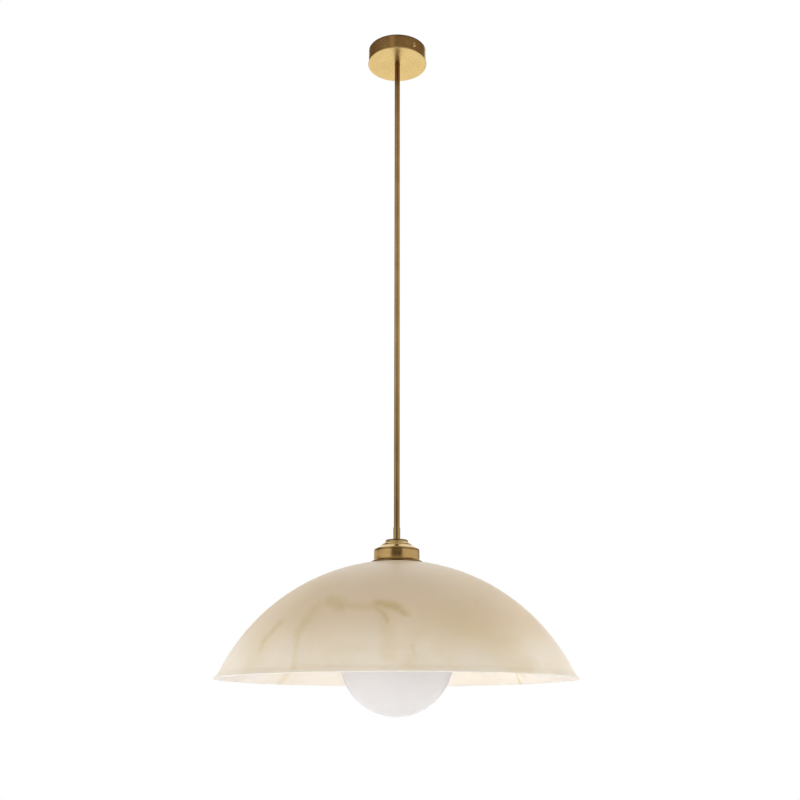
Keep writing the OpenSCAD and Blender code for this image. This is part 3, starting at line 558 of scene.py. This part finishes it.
# Nuts and washer: two brass nuts clamp the rod in the dish over a plated washer, and a third,
# inside the gallery, pulls the gallery up against the collar.
dressed("rod_nuts", "rod_lock_nuts", "frame", bare_brass, edge=0.2)
dressed("rod_washer", "plated_washer", "frame", zinc, edge=0.15)


# Conductors: stranded copper in coloured insulation, 1.8 mm over all. They run from the block
# and the earth point down the rod's bore to the lampholder's terminals.
def sleeved(node, name, colour, second=None):
    """The eight-sided CAD conductor rounded off into a smooth sleeve, striped or plain."""
    piece = from_solid(node, name, edge=0, merge_angle=0.01)
    open_mesh()
    bpy.ops.mesh.tris_convert_to_quads(face_threshold=radians(50), shape_threshold=radians(50))
    close_mesh()
    rounded = piece.modifiers.new("rounded", "SUBSURF")
    rounded.levels = rounded.render_levels = 1
    bpy.ops.object.modifier_apply(modifier=rounded.name)
    bpy.ops.object.shade_smooth_by_angle(angle=radians(60))
    material, tree, surface, place = finish(name + "_sleeve", Roughness=0.38,
                                            Specular_IOR_Level=0.4)
    chalk = placed(tree, blotches, Place=place, Size=0.002)
    other = second or tuple(0.8 * c for c in colour[:3]) + (1,)
    if second:
        stripe = wired(tree, "ShaderNodeTexWave", {"Vector": place, "Scale": 160.0},
                       wave_type="BANDS", bands_direction="X")
        chalk = between(tree, stripe.outputs["Fac"], 0, 1, 0.66, 0.7)
    tree.links.new(mixed(tree, chalk, colour, other), surface.inputs["Base Color"])
    bumped(tree, surface, noise(tree, place, 1500.0), distance=0.00002, strength=0.4)
    stands_for(piece, "frame", node, material)


sleeved("live_wire", "live_conductor", (0.16, 0.07, 0.03, 1))
sleeved("neutral_wire", "neutral_conductor", (0.03, 0.17, 0.50, 1))
sleeved("earth_wire", "earth_conductor", (0.12, 0.38, 0.08, 1),
        (0.75, 0.68, 0.05, 1))


# Canopy: a shallow cup spun from 1.2 mm brass, its bottom edge standing a little proud. It is
# brushed round the axis, aged and lacquered, with two tapped bosses soldered inside the wall.
def pegged(radius, low, high, azimuth, z):
    """A plain round bar that points outwards at an azimuth, between two radii."""
    bpy.ops.mesh.primitive_cylinder_add(vertices=48, radius=radius * MM,
                                        depth=(high - low) * MM)
    bar = bpy.context.object
    turn = radians(azimuth - 90)
    bar.rotation_euler = (0, radians(90), turn)
    bar.location = ((low + high) / 2 * MM * cos(turn), (low + high) / 2 * MM * sin(turn), z)
    bpy.ops.object.transform_apply(location=True, rotation=True)
    return bar


def carved(piece, tool, operation):
    """Joins or cuts a tool into a piece, and clears the tool away."""
    pick(piece)
    cut = piece.modifiers.new("cut", "BOOLEAN")
    cut.operation = operation
    cut.solver = "EXACT"
    cut.object = tool
    bpy.ops.object.modifier_apply(modifier=cut.name)
    bpy.data.objects.remove(tool)


canopy_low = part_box("canopy")[0].z
screw_azimuth = 35
screw_z = -0.013
boss_r, tapped_r = 3.75, 2.05
canopy = turned("spun_canopy", [(4.25, 0.15), (4.4, 0)]
                + [(r, 0) for r in (9, 15, 21, 27, 33, 39, 43)]
                + arc(44.5, 0.5, 0.5, -90, 70, 8)
                + [(44.3, 1.15), (44.2, 1.4), (44.2, 4), (44.2, 20), (44.2, 23.4)]
                + arc(44.0, 23.5, 0.2, 0, 90, 2) + arc(43.2, 23.5, 0.2, 90, 180, 2)
                + [(43, 20), (43, 2)] + arc(42.2, 2.0, 0.8, 0, -90, 4)
                + [(36, 1.2), (20, 1.2), (4.4, 1.2), (4.25, 1.05)], canopy_low, sides=180)
for turn in (0, 180):
    carved(canopy, pegged(boss_r, 41, 43.5, screw_azimuth + turn, screw_z), "UNION")
for turn in (0, 180):
    carved(canopy, pegged(tapped_r, 38, 48, screw_azimuth + turn, screw_z), "DIFFERENCE")
bpy.ops.object.shade_smooth_by_angle(angle=SMOOTH_UNDER)
# Painted shade: a dark band round the top 2 mm of the canopy wall, where it meets the ceiling.
canopy_brass = turned_brass("canopy_brass", (0.82, 0.60, 0.245, 1), (0.68, 0.47, 0.18, 1),
                            lines_per_mm=0.9, satin=0.22, age=0.3, swirl=0.3,
                            shade_bands=[(-0.0022, 0.001, 0.7)])
stands_for(canopy, "canopy", "canopy", canopy_brass)

# Side screws of the canopy: brass, 3.9 mm thread, low domed head with a slot. They bear on
# the plate's ears and hold the canopy up.
screw_brass = stained("screw_brass", 0.002, (0.86, 0.66, 0.36, 1), (0.66, 0.46, 0.20, 1),
                      rough=(0.18, 0.32), Metallic=1.0)
head_seat = 0.0443
for node, azimuth in (("canopy_screw_front", screw_azimuth),
                      ("canopy_screw_rear", screw_azimuth + 180)):
    screw = turned(node + "_turned", [(0.02, -3.5), (1.3, -3.5), (1.6, -3.2), (1.6, 0), (2.0, 0),
                                      (3.3, 0)]
                   + arc(3.3, 0.2, 0.2, -90, 0, 2) + arc(3.1, 0.75, 0.4, 0, 60, 4)
                   + [(2.7, 1.55), (2.0, 1.88), (1.2, 2.1), (0.02, 2.2)], 0, sides=48, pole=True)
    bpy.ops.mesh.primitive_cube_add(size=1)
    slot = bpy.context.object
    slot.scale = (0.02, 0.0009, 0.003)
    slot.location = (0, 0, 0.0027)
    slot.rotation_euler = (0, 0, radians(50))
    bpy.ops.object.transform_apply(location=True, rotation=True, scale=True)
    carved(screw, slot, "DIFFERENCE")
    thread(screw, radius=1.93, pitch=0.7, turns=4, depth=0.32, low_z=-0.0032)
    turn = radians(azimuth - 90)
    screw.rotation_euler = (0, radians(90), turn)
    screw.location = (head_seat * cos(turn), head_seat * sin(turn), screw_z)
    bpy.ops.object.transform_apply(location=True, rotation=True)
    bpy.ops.object.shade_smooth_by_angle(angle=radians(30))
    stands_for(screw, node, node, screw_brass)

# Foot collar: a short sleeve turned from brass bar, with a rounded top edge. It is screwed on
# the rod's lower thread, and the gallery is pulled up against it.
collar_low, collar_high = (corner.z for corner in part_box("foot_collar"))
collar_l = (collar_high - collar_low) / MM
collar = turned("foot_sleeve", [(4.05, 0.2), (4.2, 0), (4.6, 0), (4.75, 0.15),
                                (4.75, collar_l - 0.4)]
                + arc(4.45, collar_l - 0.3, 0.3, 0, 90, 3)
                + [(4.2, collar_l), (4.05, collar_l - 0.2)], collar_low, sides=96)
collar_brass = drawn_brass("collar_brass", (0.60, 0.44, 0.205, 1), (0.46, 0.315, 0.13, 1),
                           satin=0.22, age=0.4)
stands_for(collar, "frame", "foot_collar", collar_brass)

# Top disc: a thick washer turned from brass, with a fine groove near its edge. It lies between
# the collar and the gallery, and spreads the rod's load.
disc_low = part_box("top_disc")[0].z
disc = turned("turned_top_disc", [(4.05, 0.2), (4.3, 0), (14.5, 0)]
              + arc(14.6, 0.4, 0.4, -90, 0, 3) + arc(14.5, 1.6, 0.5, 0, 90, 4)
              + [(12.9, 2.1), (12.8, 2.02), (12.6, 2.02), (12.5, 2.1), (8, 2.1), (4.3, 2.1),
                 (4.05, 1.9)], disc_low, sides=128)
disc_brass = turned_brass("disc_brass", (0.40, 0.30, 0.19, 1), (0.30, 0.22, 0.13, 1),
                          lines_per_mm=1.6, satin=0.26)
stands_for(disc, "frame", "top_disc", disc_brass)

# Gallery cover: spun from 1 mm brass in one piece, with a step, a short cone, a broad bevel, a
# straight band and a thick flared foot that stands on the shade. Brushed and lacquered.
cover_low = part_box("gallery_cover")[0].z
cover = turned("spun_gallery_cover",
               [(4.05, 29.15), (4.2, 29.3), (10, 29.3)] + arc(15.5, 29.0, 0.3, 90, 0, 3)
               + [(15.8, 28.55), (15.95, 28.33), (17.5, 27.1), (19.2, 25.85), (20.5, 24.95),
                  (20.75, 24.6), (20.95, 24.2), (21.25, 23.72), (23.5, 22.4), (26, 20.95),
                  (28.2, 19.7)]
               + arc(29.2, 17.85, 1.3, 55, 15, 4)
               + [(30.62, 17.2), (30.74, 16.5), (30.8, 15.7), (30.8, 10), (30.8, 4.5),
                  (30.84, 4.2), (31.0, 4.0), (34.2, 2.35), (34.75, 2.05), (34.95, 1.8), (35, 1.5),
                  (35, 0.6), (34.95, 0.25), (34.7, 0), (33, 0), (30.2, 0), (29.8, 0.2),
                  (29.8, 5), (29.8, 12), (29.8, 17)]
               + arc(29.0, 17.3, 0.8, 0, 55, 3)
               + [(27, 19.2), (24, 20.9), (20.6, 22.9), (20.3, 23.4), (20.0, 24.1), (18, 25.5),
                  (14.9, 27.6), (14.8, 28.0), (14.4, 28.3), (10, 28.3), (4.2, 28.3),
                  (4.05, 28.45)], cover_low, sides=180)
# Painted shade: a dark line where the bevel meets the straight band, a dark foot on the shade, and
# the flare above the foot half as dark.
cover_shade_bands = [(cover_low + 0.0158, cover_low + 0.0176, 0.8),
               (cover_low - 0.001, cover_low + 0.0022, 0.8),
               (cover_low + 0.0020, cover_low + 0.0040, 0.45)]
cover_brass = turned_brass("gallery_brass", (0.82, 0.58, 0.25, 1), (0.64, 0.42, 0.155, 1),
                           lines_per_mm=1.1, satin=0.18, age=0.2, swirl=0.3, shade_bands=cover_shade_bands)
stands_for(cover, "frame", "gallery_cover", cover_brass)

# Felt ring: a stamped ring of dark pressed felt. It lies loose on the shade's crown and keeps
# the gallery's brass foot off the glass.
felt_low, felt_high = (corner.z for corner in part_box("gallery_gasket"))
felt_t = (felt_high - felt_low) / MM
felt_ring = turned("felt_ring", [(29.85, 0.05), (29.95, 0), (34.2, 0), (34.4, 0.12),
                                 (34.4, felt_t - 0.12), (34.2, felt_t), (29.95, felt_t),
                                 (29.85, felt_t - 0.05)], felt_low, sides=128)
felt, tree, surface, place = finish("pressed_felt", Roughness=0.95, Sheen_Weight=0.6,
                                    Sheen_Roughness=0.5, Specular_IOR_Level=0.1)
fibre = noise(tree, place, 2200.0, Detail=5.0, Roughness=0.75, Distortion=2.5)
tree.links.new(mixed(tree, fibre, (0.06, 0.055, 0.05, 1), (0.24, 0.22, 0.20, 1)),
               surface.inputs["Base Color"])
bumped(tree, surface, fibre, distance=0.0002)
stands_for(felt_ring, "frame", "gallery_gasket", felt)

# Shade: a wide dome of cream marbled glass, 4.5 mm thick, pressed in a mould, with a flat
# crown round its hole and a small lip turned out at the rim. Light passes through it softly.
dome_r, dome_c, dome_wall, crown, hole = 254.546, -100.187, 4.5, 151.8, 21.0
lip_h, lip_out = 9, 2.7
inner_r = dome_r - dome_wall


def dome(radius, z):
    """Radius of the dome's wall at a height above the rim."""
    return sqrt(radius ** 2 - (z - dome_c) ** 2)


def wall(radius, low, rise, count=56):
    """Points up the dome's wall, from a height above the rim."""
    return [(dome(radius, low + rise * k / count), low + rise * k / count)
            for k in range(count + 1)]


lip = [(dome(dome_r, z) + lip_out * (1 - (z - 1) / (lip_h - 1)) ** 2, z)
       for z in (1.1, 1.6, 2.2, 3, 4, 5, 6.2, 7.5)]
shade = turned("marbled_dome_shade",
               [(dome(inner_r, 0) + 0.5, 0.05), (232, 0), (235, 0)]
               + arc(236.43, 0.5, 0.5, -80, 70, 6) + lip + wall(dome_r, lip_h, crown - 9.6)
               + [(34.5, crown - 0.05), (33, crown), (27, crown), (hole + 0.8, crown)]
               + arc(hole + 0.7, crown - 0.7, 0.7, 90, 180, 4)
               + arc(hole + 0.7, crown - dome_wall + 0.7, 0.7, 180, 270, 4)
               + [(27, crown - dome_wall), (33, crown - dome_wall)]
               + wall(inner_r, 0, crown - dome_wall - 0.4)[::-1], rim_z, sides=240)

# Effect: one vein, a soft crooked line between two directions from the dome's centre
vein_line, enter, leave = group_of("vein_line", "Mask", ("Start", "Vector", None),
                                   ("End", "Vector", None), ("Width", "Float", 0.01),
                                   ("Depth", "Float", 1.0))
run = vectors(vein_line, "SUBTRACT", enter["End"], enter["Start"])
away = vectors(vein_line, "SUBTRACT", enter["Place"], enter["Start"])
share = maths(vein_line, "DIVIDE", vectors(vein_line, "DOT_PRODUCT", away, run),
              vectors(vein_line, "DOT_PRODUCT", run, run), use_clamp=True)
foot = scaled(vein_line, run, share)
gap = vectors(vein_line, "LENGTH", vectors(vein_line, "SUBTRACT", away, foot))
vein_line.links.new(between(vein_line, gap, enter["Depth"], 0.0, 0.0, enter["Width"],
                            smooth=True), leave)


def towards(azimuth, polar):
    """Unit vector from the dome's centre; azimuth from the front, polar from straight up."""
    a, p = radians(azimuth), radians(polar)
    return (sin(a) * sin(p), -cos(a) * sin(p), cos(p))


# Each vein: where it starts and ends as azimuth and polar angle, its half width, its depth
VEINS = [
    (-27.5, 42.6, -20.9, 45.8, 0.062, 0.52), (-21.5, 45.7, -7.5, 46.4, 0.040, 0.36),
    (-6.4, 45.0, -1.7, 45.8, 0.054, 0.72), (-1.7, 45.8, 0.6, 46.9, 0.044, 0.72),
    (0.6, 46.9, 3.1, 48.7, 0.032, 0.70), (3.1, 48.7, 4.2, 49.3, 0.028, 0.34),
    (-6.9, 46.3, -3.1, 51.9, 0.026, 0.55), (-4.0, 51.0, -2.4, 62.1, 0.060, 0.20),
    (-31.5, 44.5, -33.4, 53.9, 0.060, 0.30), (-33.2, 52.0, -33.5, 55.5, 0.040, 0.24),
    (-33.5, 53.9, -31.7, 59.1, 0.026, 0.26), (-31.7, 59.1, -29.8, 66.0, 0.022, 0.20),
    (-45.0, 50.5, -48.4, 56.6, 0.048, 0.36), (-48.2, 56.4, -47.6, 59.5, 0.030, 0.24),
    (4.8, 59.5, 5.4, 62.6, 0.026, 0.18), (22.0, 52.0, 38.0, 63.0, 0.22, 0.20),
    (129.4, 61.5, 128.8, 67.5, 0.016, 0.60), (131, 60, 126, 63.5, 0.030, 0.30),
    (-136, 60, -132, 67, 0.040, 0.30), (150, 40, 158, 46, 0.030, 0.26),
    (158, 46, 163, 58, 0.018, 0.22), (-160, 35, -168, 42, 0.034, 0.24),
    (-168, 42, -165, 56, 0.018, 0.20), (95, 38, 102, 47, 0.030, 0.26),
    (102, 47, 99, 62, 0.018, 0.20), (-95, 44, -90, 52, 0.030, 0.26),
    (-90, 52, -93, 63, 0.018, 0.20),
]
marbled, tree, surface, place = finish(
    "marbled_glass", Roughness=0.34, IOR=1.5, Subsurface_Weight=0.85, Subsurface_Scale=0.012,
    Subsurface_Radius=(1.0, 0.82, 0.62), Specular_IOR_Level=0.5)
from_middle = vectors(tree, "SUBTRACT", place, (0, 0, rim_z + dome_c * MM))
ray = vectors(tree, "NORMALIZE", from_middle)
wander = vectors(tree, "SUBTRACT", noise(tree, ray, 9.0, "Color", Detail=4.0, Roughness=0.6),
                 (0.5, 0.5, 0.5))
crooked = vectors(tree, "ADD", ray, scaled(tree, wander, 0.045))
veins = None
for start_a, start_p, end_a, end_p, width, depth in VEINS:
    one = placed(tree, vein_line, Place=crooked, Start=towards(start_a, start_p),
                 End=towards(end_a, end_p), Width=width, Depth=depth)
    veins = maths(tree, "MAXIMUM", veins, one) if veins else one
fleck = noise(tree, ray, 26.0, Detail=6.0, Roughness=0.7)
broken = between(tree, fleck, 0.75, 1.1, 0.35, 0.65)
veins = maths(tree, "MULTIPLY", veins, broken, use_clamp=True)
cloud = noise(tree, ray, 3.2, Detail=5.0, Roughness=0.55, Distortion=0.6)
cloud = between(tree, cloud, 0, 1, 0.34, 0.68, smooth=True)
threads = noise(tree, crooked, 4.5, Detail=7.0, Roughness=0.5, Distortion=1.2)
ridge = maths(tree, "ABSOLUTE", maths(tree, "SUBTRACT", threads, 0.5))
ridge = between(tree, ridge, 0.07, 0.0, 0.0, 0.03, smooth=True)
veins = maths(tree, "MAXIMUM", veins, maths(tree, "MULTIPLY", ridge, cloud))
# Painted shade: the dome is painted darker and yellower towards its top.
high = between(tree, along(tree, ray, "Z"), 0, 1, 0.44, 0.70, smooth=True)
tone = mixed(tree, high, (0.875, 0.785, 0.70, 1), (0.715, 0.61, 0.48, 1))
tone = mixed(tree, maths(tree, "MULTIPLY", cloud, 0.45), tone, (0.73, 0.635, 0.48, 1))
# Painted light: the dome's inner face is painted paler and whiter than its outer face.
inside = between(tree, vectors(tree, "LENGTH", from_middle), 1, 0, (inner_r + 0.5) * MM,
                 (dome_r - 0.8) * MM)
tone = mixed(tree, maths(tree, "MULTIPLY", inside, 0.6), tone, (0.84, 0.815, 0.80, 1))
tree.links.new(mixed(tree, veins, tone, (0.55, 0.46, 0.205, 1)), surface.inputs["Base Color"])
tree.links.new(between(tree, fleck, 0.3, 0.4), surface.inputs["Roughness"])
bumped(tree, surface, noise(tree, place, 60.0, Detail=2.0), distance=0.0004, strength=0.25)
stands_for(shade, "frame", "shade", marbled)

# Silicone washer and shade ring: the turned brass ring, notched for the fingers, screws up
# the lampholder's skirt and presses the soft washer against the crown from below.
seal_low, seal_high = (corner.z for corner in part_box("shade_washer"))
seal_t = (seal_high - seal_low) / MM
seal = turned("soft_crown_washer", [(21, 0.15), (21.15, 0), (27.8, 0)]
              + arc(27.85, 0.15, 0.15, -90, 0, 2) + arc(27.85, seal_t - 0.15, 0.15, 0, 90, 2)
              + [(21.15, seal_t), (21, seal_t - 0.15)], seal_low, sides=96)
silicone = stained("silicone", 0.005, (0.78, 0.78, 0.76, 1), (0.68, 0.68, 0.66, 1),
                   Roughness=0.5, Subsurface_Weight=0.4, Subsurface_Scale=0.002)
stands_for(seal, "frame", "shade_washer", silicone)
ring_brass = turned_brass("ring_brass", (0.80, 0.60, 0.30, 1), (0.60, 0.42, 0.18, 1),
                          lines_per_mm=2.0, satin=0.24, age=0.3)
dressed("shade_ring", "notched_shade_ring", "frame", ring_brass, edge=0.3)

# Lampholder: a brass cap screwed on the rod, and a brass skirt, threaded outside for the shade
# ring, that screws into the cap and holds the ceramic insert up.
dressed("holder_cap", "lampholder_cap", "frame", ring_brass, edge=0.2)
skirt_low, skirt_high = (corner.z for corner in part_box("holder_skirt"))
skirt_l = (skirt_high - skirt_low) / MM
skirt = turned("threaded_skirt", [(16.3, 0.2), (16.5, 0), (18.9, 0)]
               + arc(18.9, 0.5, 0.5, -90, 0, 3)
               + [(19.4, 2), (19.4, 29.2), (19.7, 29.6), (20, 29.7), (20, 30), (18.5, 30),
                  (18.5, skirt_l - 0.2), (18.3, skirt_l), (17.8, skirt_l), (17.6, skirt_l - 0.2),
                  (17.6, 1.6), (17.4, 1.4), (16.5, 1.4), (16.3, 1.2)], skirt_low, sides=128)
thread(skirt, radius=19.98, pitch=2.0, turns=14, depth=0.75, low_z=skirt_low + 0.0009, steps=48)
stands_for(skirt, "frame", "holder_skirt", ring_brass)
porcelain = stained("unglazed_porcelain", 0.006, (0.86, 0.85, 0.80, 1), (0.80, 0.78, 0.72, 1),
                    relief=0.00005, grain=1800.0, detail=3.0, Roughness=0.6)
dressed("holder_insert", "ceramic_insert", "frame", porcelain, edge=0.4)

# Screw shell and contacts: a thin brass sleeve with a rolled thread takes the lamp, and two
# sprung bronze contacts carry the current from their terminals, each with one clamping screw.
ROLLED_PITCH = 3.63
shell_low, shell_high = (corner.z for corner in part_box("screw_shell"))
shell_l = (shell_high - shell_low) / MM
shell = turned("rolled_screw_shell", [(13.45, 0.1), (13.55, 0), (13.75, 0), (13.85, 0.15),
                                      (13.85, shell_l - 0.3), (13.6, shell_l), (11.6, shell_l),
                                      (11.5, shell_l - 0.25), (11.6, shell_l - 0.5),
                                      (13.2, shell_l - 0.5), (13.45, shell_l - 0.8)],
               shell_low, sides=96)
thread(shell, radius=13.2, pitch=ROLLED_PITCH, turns=6, depth=0.3, low_z=shell_low + 0.0018,
       inward=True, sides=8)
stands_for(shell, "frame", "screw_shell", bare_brass)
bronze = stained("contact_bronze", 0.004, (0.78, 0.52, 0.30, 1), (0.62, 0.38, 0.20, 1),
                 rough=(0.24, 0.36), Metallic=1.0)
dressed("centre_contact", "sprung_centre_contact", "frame", bronze, edge=0.1)
dressed("side_contact", "side_contact_foot", "frame", bronze, edge=0.1)
dressed("holder_screws", "holder_clamp_screws", "frame", zinc, edge=0.1)

# Lamp: a large globe blown from opal glass, drawn into a neck that is cemented in the cap. It
# hangs in the shade with its lower half in view.
globe_low, globe_high = (corner.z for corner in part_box("lamp_globe"))
globe_r, glass_t, mouth_r = 75.0, 1.2, 15.5
neck_z = globe_r * 0.885
neck_r = sqrt(globe_r ** 2 - neck_z ** 2)
globe_top = (globe_high - globe_low) / MM - globe_r
neck_l = globe_top - 6 - neck_z
neck_end = neck_z + neck_l
neck_power = neck_z / neck_r * neck_l / (neck_r - mouth_r)
neck = [(mouth_r + (neck_r - mouth_r) * (1 - k / 14) ** neck_power, neck_z + neck_l * k / 14)
        for k in range(1, 14)]


def ball(radius, steps):
    """Points round the globe; step 0 is its lowest point and step 60 the start of the neck."""
    neck_angle = degrees(asin(neck_z / globe_r))
    angles = [radians(-90 + (neck_angle + 90) * k / 60) for k in steps]
    return [(radius * cos(a), radius * sin(a)) for a in angles]


globe = turned("opal_globe",
               [(0.02, -globe_r)] + ball(globe_r, range(2, 61)) + neck
               + [(15.4, neck_end - 0.3), (15.0, neck_end), (12.6, neck_end),
                  (12.55, neck_end + 0.2), (12.55, globe_top), (11.4, globe_top),
                  (11.4, neck_end - 0.9), (14.2, neck_end - 1.1)]
               + [(r - glass_t * 0.98, z) for r, z in neck[::-1]]
               + ball(globe_r - glass_t, range(59, 1, -1)) + [(0.02, -globe_r + glass_t)],
               globe_low + globe_r * MM, sides=192, pole=True)
opal = stained("opal_glass", 0.09, (0.985, 0.92, 0.90, 1), (0.955, 0.89, 0.87, 1), relief=0.0003,
               strength=0.15, grain=30.0, Roughness=0.22, IOR=1.5, Subsurface_Weight=0.5,
               Subsurface_Scale=0.006, Subsurface_Radius=(1.0, 0.95, 0.9),
               Specular_IOR_Level=0.12)
stands_for(globe, "lamp", "lamp_globe", opal)

# Lamp cap: thin aluminium sleeve with a rolled thread, closed at its end by moulded black
# glass with a soldered contact. The glass stem with its filament strips hangs in the globe.
cap_low, cap_high = (corner.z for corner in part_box("lamp_cap"))
cap_l = (cap_high - cap_low) / MM
lamp_cap = turned("rolled_lamp_cap", [(12.7, 0), (13.0, 0), (13.0, 2.2), (12.35, 2.8),
                                      (12.35, cap_l - 1.8), (11.2, cap_l - 0.1), (10.9, cap_l),
                                      (10.7, cap_l), (10.7, cap_l - 0.3), (12.0, cap_l - 2.0),
                                      (12.0, 2.6), (12.7, 2.0)], cap_low, sides=96)
thread(lamp_cap, radius=13.1, pitch=ROLLED_PITCH, turns=4, depth=0.75, low_z=cap_low + 0.0042,
       sides=8, steps=48)
aluminium = stained("rolled_aluminium", 0.004, (0.82, 0.82, 0.81, 1), (0.70, 0.70, 0.70, 1),
                    rough=(0.22, 0.36), Metallic=1.0)
stands_for(lamp_cap, "lamp", "lamp_cap", aluminium)
black_glass = stained("black_glass", 0.002, (0.012, 0.012, 0.014, 1), (0.03, 0.03, 0.035, 1),
                      rough=(0.1, 0.3), Roughness=0.12, IOR=1.52)
dressed("lamp_insulator", "black_glass_end", "lamp", black_glass, edge=0.3)
solder = stained("soft_solder", 0.003, (0.72, 0.72, 0.71, 1), (0.58, 0.58, 0.57, 1),
                 rough=(0.3, 0.5), relief=0.0002, Metallic=1.0)
dressed("lamp_contact", "soldered_foot", "lamp", solder, edge=0.3)
strips = stained("filament_strips", 0.004, (0.88, 0.78, 0.42, 1), (0.90, 0.86, 0.70, 1),
                 Roughness=0.3)
dressed("lamp_filaments", "stem_and_filaments", "lamp", strips, edge=0.15)
